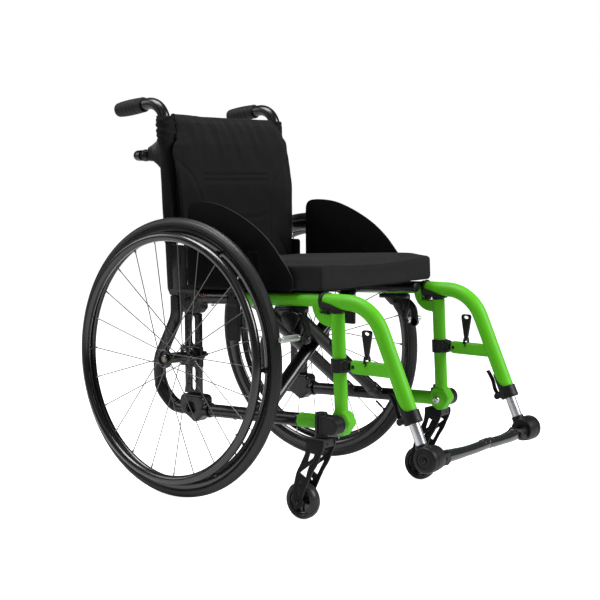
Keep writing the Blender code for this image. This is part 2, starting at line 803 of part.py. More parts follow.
def spoke_group(frame, flange, lead):
    """Every fourth spoke: those of one flange that lean the same way, as one mesh of loose bars."""
    if flange:
        root_radius = hub_flange_radius - 0.003
        root_offset = hub_outer_reach - 0.0028 - 0.0011 * lead
    else:
        root_radius = hub_inner_flange_radius - 0.003
        root_offset = 0.005 - hub_inner_reach + 0.0011 * lead
    rim_inner = tyre_seat_radius - gap - rim_depth + 0.002
    bm = bmesh.new()
    for index in range(spoke_count // 4):
        at_rim = 2 * math.pi / spoke_count * (4 * index + 2 * flange + (lead + 1) / 2)
        at_hub = at_rim + lead * spoke_lead
        start = Vector((root_radius * math.cos(at_hub), root_radius * math.sin(at_hub), root_offset))
        end = Vector((rim_inner * math.cos(at_rim), rim_inner * math.sin(at_rim), 0.001 * lead))
        axis = end - start
        turn = Matrix.Translation((start + end) / 2) @ axis.to_track_quat("Z", "Y").to_matrix().to_4x4()
        bmesh.ops.create_cone(bm, cap_ends=True, segments=3, radius1=spoke_radius, radius2=spoke_radius,
                              depth=axis.length, matrix=turn)
    return from_bmesh(bm, frame)


def handrim(frame):
    """Push ring on six short posts that stand against the rim's flank."""
    centre = tyre_seat_radius - handrim_inset
    turns = [math.radians(90 - 72 * step) for step in range(5)]
    ring = turned([(centre + handrim_tube_radius * math.cos(turn),
                    handrim_offset + handrim_tube_radius * math.sin(turn))
                   for turn in turns], frame, wheel_steps, True)
    flank = rim_half_width - gap * 0.5
    circle_radius = tyre_seat_radius - handrim_post_inset
    for index in range(handrim_post_count):
        turn = 2 * math.pi * (index + 0.5) / handrim_post_count
        up = circle_radius * math.cos(turn)
        forward = circle_radius * math.sin(turn)
        ring = join(ring, rod(on_wheel(up, forward, flank), on_wheel(up, forward, handrim_offset),
                              handrim_post_radius, 4))
    return ring


# Castor

def castor(side, housing_black, fork_black, tread):
    """Housing on the knuckle, swivelling fork with cut-out plates, and the small front wheel."""
    word = side_name(side)
    stem = at(castor_x, castor_stem_ahead, housing_low)
    finish("castor_housing_" + word, castor_housing(), housing_black, stem, None, side)
    swivel = axis_empty("castor_swivel_axis", stem, side)
    finish("castor_fork_" + word, castor_fork(), fork_black, stem, swivel, side)
    axle = at(castor_x, castor_stem_ahead - castor_trail, castor_radius)
    frame = Matrix.Translation(axle) @ Matrix.Rotation(math.radians(90), 4, "Y")
    bore = castor_bore_radius
    shoulder = castor_half_width * 0.55
    profile = [(bore, castor_half_width), (castor_radius * 0.86, castor_half_width),
               (castor_radius, shoulder), (castor_radius, -shoulder),
               (castor_radius * 0.86, -castor_half_width),
               (bore, -castor_half_width)]
    wheel = turned(profile, frame, 16, True)
    finish("castor_wheel_" + word, wheel, tread, axle, swivel, side)


def castor_housing():
    """Rounded arm over the knuckle's flat, with the upright boss that the stem turns in."""
    inner = frame_half_width + knuckle_flat + gap
    outer = inner + housing_arm_thickness
    arm_height = knuckle_height + 0.001
    rear = castor_stem_ahead - housing_boss_radius
    arm = plate(arc(knuckle_ahead - 0.001, arm_height, housing_arm_radius, -90, 90, 8)
                + [(rear, arm_height + housing_arm_radius), (rear, arm_height - housing_arm_radius)], inner,
                outer)
    boss = rod(at(castor_x, castor_stem_ahead, housing_low),
               at(castor_x, castor_stem_ahead, housing_low + housing_height),
               housing_boss_radius, 12)
    stem_bore = rod(at(castor_x, castor_stem_ahead, housing_low - 0.01),
                    at(castor_x, castor_stem_ahead, housing_low + stem_length + gap),
                    turning_bore(stem_radius))
    made = cut(join(arm, boss), stem_bore)
    under = block(at(inner - 0.01, castor_stem_ahead + 0.1, housing_low - 0.02),
                  at(outer + 0.01, castor_stem_ahead - 0.1, housing_low))
    return cut(made, under)


def castor_fork():
    """Crown, stem and two raked plates with two triangular windows and three spare axle holes."""
    inner = castor_half_width + running_gap
    crown_top = housing_low - gap
    crown_low = crown_top - fork_crown_height
    foot_ahead = castor_stem_ahead - castor_trail
    stem_ahead = castor_stem_ahead
    edge = fork_crown_half_length - 0.002
    outline = ([(stem_ahead + edge, crown_top - 0.004), (stem_ahead - edge, crown_top - 0.004),
                (stem_ahead - edge, crown_low - 0.006), (foot_ahead - 0.003, castor_radius + 0.0585)]
               + arc(foot_ahead, castor_radius, fork_foot_radius, 165, 345, 6)
               + [(stem_ahead - 0.018, castor_radius + 0.0535), (stem_ahead + 0.002, crown_low - 0.0307)])
    high_window = [(stem_ahead - 0.0193, crown_low - 0.0159), (stem_ahead - 0.0035, crown_low - 0.0135),
                   (stem_ahead - 0.0198, crown_low - 0.0267)]
    low_window = [(stem_ahead - 0.013, crown_low - 0.0326), (stem_ahead - 0.0366, crown_low - 0.0528),
                  (stem_ahead - 0.0257, crown_low - 0.0579)]
    holes = [circle(foot_ahead + ahead, castor_radius + rise, fork_hole_radius, 6)
             for ahead, rise in fork_hole_places]
    reach = inner + fork_plate_thickness
    made = block(at(castor_x - reach, stem_ahead + fork_crown_half_length, crown_low),
                 at(castor_x + reach, stem_ahead - fork_crown_half_length, crown_top))
    for face in (-1, 1):
        near = castor_x + face * inner
        far = castor_x + face * (inner + fork_plate_thickness)
        made = join(made, plate(outline, min(near, far), max(near, far), (high_window, low_window, *holes)))
    stem = rod(at(castor_x, castor_stem_ahead, crown_low + 0.005),
               at(castor_x, castor_stem_ahead, housing_low + stem_length), stem_radius)
    axle_reach = reach + 0.002
    axle = rod(at(castor_x - axle_reach, foot_ahead, castor_radius),
               at(castor_x + axle_reach, foot_ahead, castor_radius), castor_bore_radius - gap, 8)
    made = join(made, stem, axle)
    for face in (-1, 1):
        plate_face = castor_x + face * (reach - 0.001)
        head = castor_x + face * (axle_reach + 0.002)
        made = join(made, rod(at(plate_face, foot_ahead, castor_radius), at(head, foot_ahead, castor_radius),
                              0.007, 6))
    return made


# Swing-away hanger and footrest

def hanger(side, paint, black, silver):
    """Bent hanger with its saddle, crossbar, latch, release lever, cam clamp and telescoping foot tube."""
    word = side_name(side)
    x = frame_half_width
    pivot = at(x, front_post_top_ahead, front_post_top_height)
    swing = axis_empty("hanger_swing_axis", pivot, side)
    finish("hanger_" + word, hanger_tube(), paint, pivot, swing, side)
    finish("hanger_saddle_" + word, hanger_saddle(), black, pivot, swing, side)
    latch_axis = post_ahead(crossbar_height)
    low = crossbar_height - latch_half_height
    high = crossbar_height + latch_half_height
    latch = rod(at(x, post_ahead(low), low), at(x, post_ahead(high), high), frame_tube_radius + 0.004, 14)
    nose = block(at(x - 0.011, latch_axis + 0.05, low + 0.001),
                 at(x + 0.011, latch_axis + 0.010, high - 0.001))
    below = at(x, post_ahead(low - 0.02), low - 0.02)
    above = at(x, post_ahead(high + 0.02), high + 0.02)
    nose = common(nose, rod(below, above, latch_radius, 24))
    made = cut(join(latch, nose), rod(below, above, frame_tube_radius + gap))
    finish("hanger_latch_" + word, made, black, at(x, latch_axis, crossbar_height), None, side)
    lever_foot = at(x, release_lever_ahead, crossbar_height + crossbar_half_height - 0.006)
    finish("release_lever_" + word, release_lever(), black, lever_foot, swing, side)
    finish("foot_clamp_" + word, foot_clamp(), black, at(x, hanger_end_ahead, hanger_end_height), swing,
           side)
    finish("clamp_lever_" + word, clamp_lever(), black, clamp_lever_pivot(), swing, side)
    slide = axis_empty("foot_slide_axis", at(x, hanger_end_ahead, hanger_end_height), side)
    foot = at(x, foot_joint_ahead, foot_joint_height)
    finish("foot_tube_" + word, foot_tube(gap), silver, at(x, hanger_end_ahead, hanger_end_height), slide,
           side)
    finish("foot_joint_" + word, foot_joint(), black, foot, slide, side)
    hinge = at(hinge_x, foot_joint_ahead, foot_bar_height)
    finish("foot_bar_" + word, foot_bar(side), black, hinge, slide, side)


def down_hanger():
    """Unit vector down the straight part of the hanger."""
    return Vector((0, -hanger_slope, -1)).normalized()


def hanger_tube():
    x = frame_half_width
    end = at(x, hanger_end_ahead, hanger_end_height)
    line = [at(x, hanger_rear_ahead, hanger_height), at(x, hanger_ahead(hanger_height), hanger_height), end]
    bend = tube(rounded(line, hanger_bend, 5), hanger_tube_radius)
    rear = post_ahead(crossbar_height) + latch_radius + gap * 2
    half = crossbar_half_height
    front = hanger_ahead(crossbar_height)
    bar = plate(arc(rear + half, crossbar_height, half, 90, 270, 6)
                + [(front, crossbar_height - half), (front, crossbar_height + half)],
                x - crossbar_half_thickness, x + crossbar_half_thickness,
                (circle(rear + 0.007, crossbar_height, 0.003, 8),))
    bore = rod(end + down_hanger() * 0.01, end - down_hanger() * (foot_tube_insertion + foot_travel),
               foot_tube_radius + gap)
    reach = crossbar_half_thickness + release_lever_cheek + gap
    lever_foot = crossbar_height + crossbar_half_height - 0.006
    pin = rod(at(x - reach, release_lever_ahead, lever_foot),
              at(x + reach, release_lever_ahead, lever_foot), 0.002, 8)
    return cut(join(bend, bar, pin), bore)


def hanger_saddle():
    """Cradle under the hanger's end, with the collar behind it and the peg that turns in the front post."""
    x = frame_half_width
    outer = hanger_tube_radius + saddle_wall
    rear = hanger_rear_ahead
    trough = rod(at(x, rear - 0.004, hanger_height), at(x, saddle_front_ahead, hanger_height), outer)
    above = block(at(x - 0.03, rear - 0.02, hanger_height - 0.002),
                  at(x + 0.03, saddle_front_ahead + 0.01, hanger_height + 0.04))
    collar = rod(at(x, rear - 0.02, hanger_height), at(x, rear - gap, hanger_height),
                 hanger_tube_radius + collar_wall)
    foot = at(x, front_post_top_ahead, front_post_top_height)
    up_post = (foot - at(x, knuckle_ahead, knuckle_height)).normalized()
    sweep = rod(foot - up_post * 0.02, foot + up_post * 0.06, saddle_sweep_radius, 20)
    stool = rod(foot + up_post * gap, foot + up_post * 0.012, frame_tube_radius)
    peg = rod(foot - up_post * pivot_peg_length, foot + up_post * 0.004, pivot_peg_radius)
    room = tube([at(x, rear - gap, hanger_height), at(x, saddle_front_ahead + 0.02, hanger_height)],
                hanger_tube_radius + gap)
    body = common(join(cut(trough, above), collar), sweep)
    return join(cut(join(body, stool), room), peg)


def release_lever():
    """Tapered lever that straddles the crossbar, with a finger hole at the top."""
    x = frame_half_width
    pivot = crossbar_height + crossbar_half_height - 0.006
    foot = release_lever_foot_width / 2
    head = release_lever_top_width / 2
    top = pivot + release_lever_height
    half = crossbar_half_thickness + gap + release_lever_cheek
    middle = release_lever_ahead
    hole = [(middle - head * 0.6, top - 0.011), (middle + head * 0.6, top - 0.011),
            (middle + head * 0.6, top - 0.004), (middle - head * 0.6, top - 0.004)]
    outline = (arc(middle, pivot, foot, 180, 360, 4)
               + [(middle + head, top - 0.003), (middle + head - 0.003, top), (middle - head + 0.003, top),
                  (middle - head, top - 0.003)])
    body = plate(outline, x - half, x + half, (hole,))
    room = crossbar_half_thickness + gap
    straddle = block(at(x - room, middle - 0.03, pivot - 0.02),
                     at(x + room, middle + 0.03, crossbar_height + crossbar_half_height + 0.003))
    slim = block(at(x - 0.004, middle - 0.03, pivot + 0.016), at(x + 0.004, middle + 0.03, top + 0.01))
    sides = block(at(x - 0.03, middle - 0.03, pivot + 0.016), at(x + 0.03, middle + 0.03, top + 0.01))
    pin_hole = rod(at(x - 0.02, middle, pivot), at(x + 0.02, middle, pivot), 0.002 + gap, 8)
    return cut(body, cut(sides, slim), straddle, pin_hole)


def foot_clamp():
    """Split collar at the hanger's end, with ears behind it for the cam lever."""
    x = frame_half_width
    top = at(x, hanger_end_ahead, hanger_end_height) + down_hanger() * gap
    ring = rod(top, top + down_hanger() * foot_clamp_length, foot_clamp_radius, 12)
    pivot = clamp_lever_pivot()
    ears = rod(pivot - Vector((0.010, 0, 0)), pivot + Vector((0.010, 0, 0)), 0.007, 8)
    bridge = rod(pivot, top + down_hanger() * foot_clamp_length * 0.5, 0.008, 8)
    slot = block(pivot - Vector((clamp_lever_half_width + gap, 0.009, 0.012)),
                 pivot + Vector((clamp_lever_half_width + gap, 0.02, 0.012)))
    bore = rod(top - down_hanger() * 0.01, top + down_hanger() * 0.06, foot_tube_radius + gap)
    return cut(join(ring, ears, bridge), slot, bore)


def clamp_lever_pivot():
    back = Vector((0, 1, -hanger_slope)).normalized()
    end = at(frame_half_width, hanger_end_ahead, hanger_end_height)
    middle = end + down_hanger() * foot_clamp_length * 0.62
    return middle + back * (foot_clamp_radius + 0.007)


def clamp_lever():
    """Thin cam lever that lies along the back of the hanger."""
    pivot = clamp_lever_pivot()
    up = -down_hanger()
    back = Vector((0, 1, -hanger_slope)).normalized()
    lift = clamp_lever_thickness / 2
    line = [pivot, pivot + up * 0.016 + back * 0.0035, pivot + up * clamp_lever_length * 0.6 + back * 0.001,
            pivot + up * clamp_lever_length + back * 0.004]
    sides = [(point + back * lift, point - back * lift) for point in line]
    outline = [pair[0] for pair in sides] + [pair[1] for pair in reversed(sides)]
    strap = plate([(axle_y - point.y, point.z) for point in outline],
                  frame_half_width - clamp_lever_half_width,
                  frame_half_width + clamp_lever_half_width)
    across = Vector((clamp_lever_half_width, 0, 0))
    cam = rod(pivot - across, pivot + across, 0.0055, 10)
    return join(cam, strap)


def foot_tube(inset):
    """Bright tube that slides in the hanger; inset narrows it, or widens it as a cutter."""
    end = at(frame_half_width, hanger_end_ahead, hanger_end_height)
    drop = (hanger_end_height - foot_joint_height - 0.004) / -down_hanger().z
    return rod(end - down_hanger() * foot_tube_insertion, end + down_hanger() * drop,
               foot_tube_radius + gap - inset)


def foot_joint():
    """Round housing at the foot of the tube, with two cheeks that the foot bar folds between."""
    x = frame_half_width
    centre = at(x, foot_joint_ahead, foot_joint_height)
    frame = Matrix.Translation(centre) @ Matrix.Rotation(math.radians(90), 4, "Y")
    radius = foot_joint_radius
    drum = turned([(0, foot_joint_outer), (radius * 0.82, foot_joint_outer),
                   (radius, foot_joint_outer - 0.006),
                   (radius, 0.004), (radius * 0.85, -foot_joint_inner), (0, -foot_joint_inner)], frame, 12)
    arm = block(at(hinge_x, foot_joint_ahead + foot_hinge_half_width, foot_bar_height - foot_hinge_radius),
                at(x - foot_joint_inner + 0.004, foot_joint_ahead - foot_hinge_half_width,
                   foot_bar_height + foot_hinge_radius))
    front = at(hinge_x, foot_joint_ahead + foot_hinge_half_width, foot_bar_height)
    rear = at(hinge_x, foot_joint_ahead - foot_hinge_half_width, foot_bar_height)
    knuckle = rod(front, rear, foot_hinge_radius, 12)
    room = block(at(hinge_x - 0.03, foot_joint_ahead + foot_tongue_half_width + gap, foot_bar_height - 0.03),
                 at(x - foot_joint_inner - gap, foot_joint_ahead - foot_tongue_half_width - gap,
                    foot_bar_height + 0.03))
    made = cut(join(arm, knuckle), room)
    pin = rod(front, rear, 0.004 - gap, 8)
    return cut(join(drum, made, pin), foot_tube(0))


def foot_bar(side):
    """Half of the tubular foot bar, with the tongue that it flips up on."""
    reach = foot_bar_seam * side + foot_bar_seam_gap / 2
    start = hinge_x - foot_hinge_radius - 0.002
    bar = rod(at(start, foot_joint_ahead, foot_bar_height), at(reach, foot_joint_ahead, foot_bar_height),
              foot_bar_radius, 14)
    tongue = block(at(start - 0.008, foot_joint_ahead + foot_tongue_half_width, foot_bar_height - 0.009),
                   at(hinge_x, foot_joint_ahead - foot_tongue_half_width, foot_bar_height + 0.009))
    front = at(hinge_x, foot_joint_ahead + foot_tongue_half_width, foot_bar_height)
    rear = at(hinge_x, foot_joint_ahead - foot_tongue_half_width, foot_bar_height)
    eye = rod(front, rear, foot_hinge_radius - 0.001, 12)
    pin_hole = rod(front + Vector((0, -0.02, 0)), rear + Vector((0, 0.02, 0)), 0.004, 8)
    return cut(join(bar, tongue, eye), pin_hole)


# Backrest

def backrest_side(side, black, grip_rubber):
    """Back cane with its bolted foot bracket and stabiliser bracket, and the push grip on its end."""
    word = side_name(side)
    finish("back_cane_" + word, back_cane(), black, at(cane_x, cane_foot_ahead, cane_foot_height), None,
           side)
    end = at(cane_x, grip_end_ahead, grip_end_height)
    corner = at(cane_x, cane_top_ahead, cane_top_height)
    inward = (corner - end).normalized()
    frame = Matrix.Translation(end) @ inward.to_track_quat("Z", "Y").to_matrix().to_4x4()
    collar = grip_collar_radius
    profile = [(0, grip_length), (collar - 0.002, grip_length), (collar, grip_length - 0.004),
               (grip_radius - 0.001, grip_length - 0.014), (grip_radius, grip_length * 0.5),
               (grip_radius - 0.001, grip_cap), (grip_radius * 0.6, -grip_cap), (0, -grip_cap)]
    line = cane_line()
    line[-1] = end - inward * gap
    grip = cut(turned(profile, frame, 12), tube(line, cane_radius + gap))
    finish("push_grip_" + word, grip, grip_rubber, end, None, side)


def cane_line():
    return rounded([at(cane_x, cane_foot_ahead, cane_foot_height),
                    at(cane_x, cane_top_ahead, cane_top_height),
                    at(cane_x, grip_end_ahead, grip_end_height)], cane_bend, 5)


def cane_at(height):
    """How far ahead the straight part of the cane is at a height."""
    share = (height - cane_foot_height) / (cane_top_height - cane_foot_height)
    return cane_foot_ahead + (cane_top_ahead - cane_foot_ahead) * share


def back_cane():
    x = frame_half_width
    cane = tube(cane_line(), cane_radius)
    bracket = block(at(x - bracket_half_thickness, bracket_front_ahead, bracket_low),
                    at(x + bracket_half_thickness, bracket_rear_ahead, bracket_high), 0.002)
    made = join(bracket, cane)
    for rise in bracket_bolt_rises:
        height = seat_level + rise
        made = join(made, rod(at(x, bracket_rear_ahead + 0.004, height),
                              at(x, bracket_rear_ahead - 0.005, height),
                              bracket_bolt_radius, 6))
    middle = stabiliser_height
    pivot = stabiliser_pivot_ahead
    front = cane_at(middle)
    low = middle - 0.0135
    high = middle + 0.0145
    arm = plate([(front + 0.004, middle - 0.030), (front - 0.018, middle - 0.024), (front - 0.030, low),
                 (pivot, low), (pivot, high), (front - 0.052, middle + 0.017),
                 (front - 0.026, middle + 0.030),
                 (front + 0.004, middle + 0.030)], cane_x - stabiliser_half_width,
                cane_x + stabiliser_half_width)
    eye = rod(at(cane_x, pivot, low), at(cane_x, pivot, high), stabiliser_eye_radius, 12)
    slot = block(at(cane_x - 0.03, pivot + stabiliser_eye_radius + 0.001, middle - tongue_half_height - gap),
                 at(cane_x + 0.03, pivot - 0.03, middle + tongue_half_height + gap))
    return join(made, cut(join(arm, eye), slot))


def stabiliser_bar(black):
    """Bar across the back of the canes: hinged behind the right one, lying in a slot behind the left one."""
    height = stabiliser_height
    near = stabiliser_pivot_ahead - stabiliser_eye_radius - 0.002
    line = rounded([at(-cane_x, near, height), at(-cane_x, stabiliser_bar_ahead, height),
                    at(cane_x, stabiliser_bar_ahead, height), at(cane_x, near, height)], stabiliser_bend)
    made = tube(line, stabiliser_radius)
    for face in (-1, 1):
        tongue = block(at(face * cane_x - 0.008, near - 0.006, height - tongue_half_height),
                       at(face * cane_x + 0.008, stabiliser_pivot_ahead, height + tongue_half_height))
        eye = rod(at(face * cane_x, stabiliser_pivot_ahead, height - tongue_half_height),
                  at(face * cane_x, stabiliser_pivot_ahead, height + tongue_half_height),
                  stabiliser_eye_radius - 0.002, 12)
        made = join(made, join(tongue, eye))
    pivot = at(-cane_x, stabiliser_pivot_ahead, height)
    return finish("stabiliser_bar", made, black, pivot)


# Brake

def brake(side, black, shoe_grey):
    """Plate with its cover, folding lever, and the arm that presses a round shoe on the tyre."""
    word = side_name(side)
    x = frame_half_width
    inner = x + brake_plate_offset
    outer = inner + brake_plate_thickness
    under = seat_tube_rise - frame_tube_radius - gap
    front = brake_pivot_ahead + 0.012
    rear = shoe_pivot_ahead - 0.034
    front_top = on_rake(x, front, under).z
    rear_top = on_rake(x, rear, under).z
    bar = plate([(front, front_top), (rear, rear_top), (rear, rear_top - 0.010), (front, front_top - 0.012)],
                x - 0.009, inner + 0.001)
    web = plate([(front, front_top - 0.004), (rear + 0.006, rear_top - 0.004),
                 (shoe_pivot_ahead - 0.010, shoe_pivot_height - 0.007),
                 (shoe_pivot_ahead + 0.010, shoe_pivot_height - 0.013),
                 (shoe_pivot_ahead + 0.021, shoe_pivot_height - 0.036),
                 (brake_pivot_ahead + 0.007, shoe_pivot_height - 0.036), (front, shoe_pivot_height - 0.008)],
                inner, outer)
    layer = outer + gap
    cover_inner = layer + brake_plate_thickness + gap
    cover_outer = cover_inner + brake_cover_thickness
    cover = plate([(shoe_pivot_ahead - 0.012, shoe_pivot_height - 0.006),
                   (shoe_pivot_ahead - 0.012, shoe_pivot_height + 0.005),
                   (shoe_pivot_ahead - 0.007, shoe_pivot_height + 0.0095),
                   (brake_pivot_ahead - 0.004, brake_pivot_height + 0.008),
                   (brake_pivot_ahead + 0.005, brake_pivot_height + 0.005),
                   (brake_pivot_ahead + 0.008, brake_pivot_height - 0.001),
                   (shoe_pivot_ahead + 0.017, shoe_pivot_height - 0.027),
                   (shoe_pivot_ahead + 0.012, shoe_pivot_height - 0.031),
                   (shoe_pivot_ahead + 0.007, shoe_pivot_height - 0.029)], cover_inner, cover_outer)
    pins = [brake_pin(brake_pivot_ahead, brake_pivot_height, inner + 0.001, cover_inner + 0.001, 0),
            brake_pin(shoe_pivot_ahead, shoe_pivot_height, inner + 0.001, cover_inner + 0.001, 0)]
    finish("brake_plate_" + word, join(bar, web, cover, *pins), black, at(x, shoe_pivot_ahead, front_top),
           None, side)
    finish("brake_lever_" + word, brake_lever(layer), black, at(layer, brake_pivot_ahead,
                                                                brake_pivot_height), None, side)
    finish("brake_shoe_" + word, brake_shoe(layer), shoe_grey,
           at(layer, shoe_pivot_ahead, shoe_pivot_height), None, side)


def brake_pin(ahead, height, near, far, room):
    return rod(at(near, ahead, height), at(far, ahead, height), brake_pin_radius + room, 8)


def brake_lever(layer):
    ahead = brake_pivot_ahead
    height = brake_pivot_height
    knob_ahead = ahead + brake_lever_throw
    knob_height = height - brake_lever_drop
    lever = plate([(ahead - 0.004, height + 0.006), (ahead + 0.006, height + 0.008),
                   (knob_ahead + 0.006, height - 0.012), (knob_ahead + 0.006, knob_height),
                   (knob_ahead - 0.006, knob_height), (knob_ahead - 0.007, height - 0.016),
                   (ahead - 0.006, height - 0.005)], layer, layer + brake_plate_thickness)
    knob = rod(at(layer, knob_ahead, knob_height), at(layer + 0.009, knob_ahead, knob_height),
               brake_knob_radius, 12)
    return cut(join(lever, knob), brake_pin(ahead, height, layer - 0.01, layer + 0.01, gap))


def brake_shoe(layer):
    """Arm with the round shoe that stands across the tread."""
    ahead = shoe_pivot_ahead
    height = shoe_pivot_height
    shoe_ahead = tread_ahead + shoe_clearance + shoe_radius
    arm = plate([(ahead - 0.006, height + 0.005), (ahead + 0.005, height + 0.005),
                 (shoe_ahead + 0.004, shoe_height + 0.002), (shoe_ahead + 0.002, shoe_height - 0.004),
                 (shoe_ahead - 0.006, shoe_height - 0.002)], layer, layer + brake_plate_thickness)
    shoe = rod(at(layer, shoe_ahead, shoe_height), at(wheel_x + 0.006, shoe_ahead, shoe_height),
               shoe_radius, 12)
    return cut(join(arm, shoe), brake_pin(ahead, height, layer - 0.01, layer + 0.01, gap))


# Side guard

def side_guard(side, black, panel):
    """Flat skirt guard whose tongue drops into a receiver clamped to the seat tube."""
    word = side_name(side)
    x = frame_half_width
    ahead = guard_receiver_ahead
    deep = guard_receiver_half_depth
    wide = guard_receiver_half_width
    tongue = guard_tongue_half_width
    bar = block(at(guard_x - deep, ahead + wide, guard_receiver_low),
                at(guard_x + deep, ahead - wide, guard_receiver_high), 0.0015)
    ring = rod(on_rake(x, ahead - wide + 0.001, seat_tube_rise),
               on_rake(x, ahead + wide - 0.001, seat_tube_rise),
               frame_tube_radius + guard_clamp_wall)
    tube_room = rod(on_rake(x, ahead - 0.05, seat_tube_rise), on_rake(x, ahead + 0.05, seat_tube_rise),
                    frame_tube_radius + gap)
    room = guard_half_thickness + gap
    slot = block(at(guard_x - room, ahead + tongue + gap, guard_receiver_low - 0.01),
                 at(guard_x + room, ahead - tongue - gap, guard_receiver_high + 0.01))
    finish("guard_receiver_" + word, cut(join(ring, bar), tube_room, slot), black,
           at(guard_x, ahead, guard_receiver_high), None, side)
    tube_top = on_rake(x, 0, seat_tube_rise).z + frame_tube_radius + guard_low_gap
    base = max(tube_top, guard_receiver_high + gap)
    low = guard_receiver_low + guard_tongue_lift
    front = guard_front_ahead
    front_base = on_rake(x, front, seat_tube_rise).z + frame_tube_radius + guard_low_gap
    rear = guard_rear_ahead
    outline = [(rear, base), (ahead - tongue, base), (ahead - tongue, low), (ahead + tongue, low),
               (ahead + tongue, base), (front - 0.008, front_base), (front, front_base + 0.024),
               (front - 0.028, guard_top - 0.115), (front - 0.058, guard_top - 0.081),
               (front - 0.093, guard_top - 0.054), (front - 0.133, guard_top - 0.031),
               (front - 0.173, guard_top - 0.014), (front - 0.208, guard_top - 0.004),
               (front - 0.243, guard_top),
               (rear + 0.013, guard_top - 0.005), (rear, guard_top - 0.022)]
    made = plate(outline, guard_x - guard_half_thickness, guard_x + guard_half_thickness)
    finish("side_guard_" + word, made, panel, at(guard_x, ahead, base), None, side)


# Cross brace and seat

def brace(name, side, arms, flattening, paint):
    """One half of the cross brace: hinge tube on its own side, arms, and the seat rail on the other side."""
    x = frame_half_width * side
    rail_x = -rail_half_spacing * side
    front = sleeve_rear_ahead + hinge_tube_depth
    rear = clamp_front_ahead - hinge_tube_depth
    made = rod(on_rake(x, rear, 0), on_rake(x, front, 0), hinge_tube_radius)
    for along in arms:
        foot = square_to_rake(x, along, 0)
        head = square_to_rake(rail_x, along, rail_rise)
        middle = (foot + head) / 2
        arm = rod(foot - middle, head - middle, arm_radius, 12)
        arm.data.transform(Matrix.Translation(middle) @ Matrix.Diagonal((1, flattening, 1, 1)))
        made = join(made, arm)
    made = join(made, rod(on_rake(rail_x, rail_rear_ahead, rail_rise),
                          on_rake(rail_x, rail_front_ahead, rail_rise),
                          rail_radius))
    if len(arms) == 1:
        made = join(made, brace_bolt())
    else:
        made = cut(made, brace_bolt_shaft(gap))
    return finish(name, made, paint, on_rake(x, arms[0], 0))


def crossing_rise():
    """Where the two halves of the brace cross, square to the lower tubes."""
    return rail_rise * frame_half_width / (frame_half_width + rail_half_spacing)


def brace_bolt_shaft(room):
    rise = crossing_rise()
    reach = arm_spacing + arm_radius + gap + 0.001
    middle = single_arm_along
    return rod(square_to_rake(0, middle - reach, rise), square_to_rake(0, middle + reach, rise),
               brace_bolt_radius + room)


def brace_bolt():
    """Bolt fixed in the single arm, with a head and a nut outside the twin arms."""
    rise = crossing_rise()
    reach = arm_spacing + arm_radius + gap
    front = single_arm_along + reach
    rear = single_arm_along - reach
    high = brace_bolt_head_height
    head = rod(square_to_rake(0, front, rise), square_to_rake(0, front + high, rise), brace_bolt_head_radius)
    nut = rod(square_to_rake(0, rear - high, rise), square_to_rake(0, rear, rise), brace_bolt_head_radius, 6)
    return join(brace_bolt_shaft(0), head, nut)


def seat(fabric, cushion_fabric):
    """Sling laced over the two rails, with the cushion on it."""
    frame = rake_frame()
    sling_low = rail_rise + rail_radius + gap
    sling_high = sling_low + sling_thickness
    sling = block((-sling_half_width, -rail_front_ahead - seat_shift, sling_low),
                  (sling_half_width, -rail_rear_ahead - seat_shift, sling_high), 0, frame)
    middle = (cushion_front_ahead + cushion_rear_ahead) / 2
    finish("seat_sling", sling, fabric, on_rake(0, middle, sling_low))
    low = sling_high + gap
    cushion = block((-cushion_half_width, -cushion_front_ahead - seat_shift, low),
                    (cushion_half_width, -cushion_rear_ahead - seat_shift, low + cushion_thickness), 0.010,
                    frame)
    finish("seat_cushion", cushion, cushion_fabric, on_rake(0, middle, low))


def back_upholstery(fabric):
    """Padded back cover: a shaped pad in front of the canes and a sleeve round each of them."""
    narrow = back_pad_narrow_half_width
    wide = back_pad_half_width
    front = back_pad_front_ahead
    rear = back_pad_rear_ahead
    top = back_pad_top
    bend = top - 0.162
    lower = plate([(front, back_pad_low), (front - 0.003, bend), (rear, bend), (rear, back_pad_low)],
                  -narrow, narrow)
    upper = plate([(front - 0.001, back_pad_shoulder), (front - 0.003, bend), (front - 0.018, top - 0.062),
                   (rear, top - 0.017), (rear - 0.016, top), (rear - 0.030, top),
                   (rear - 0.030, top - 0.032),
                   (rear - 0.008, top - 0.072), (rear - 0.004, back_pad_shoulder)], -wide, wide)
    made = join(lower, soften(upper, back_pad_corner))
    sleeve_top = top - 0.022
    for face in (-1, 1):
        low = at(face * cane_x, cane_at(back_pad_shoulder), back_pad_shoulder)
        high = at(face * cane_x, cane_at(sleeve_top), sleeve_top)
        made = join(made, rod(low, high, back_sleeve_radius))
    for face in (-1, 1):
        line = [Vector((point.x * face, point.y, point.z)) for point in cane_line()]
        made = cut(made, tube(line, cane_radius + gap))
        low = stabiliser_height - 0.031
        high = stabiliser_height + 0.031
        bracket_room = block(at(face * cane_x - stabiliser_half_width - gap, cane_at(low), low),
                             at(face * cane_x + stabiliser_half_width + gap, cane_at(low) - 0.05, high))
        made = cut(made, bracket_room)
    return finish("back_upholstery", made, fabric, at(0, -0.05, back_pad_low))


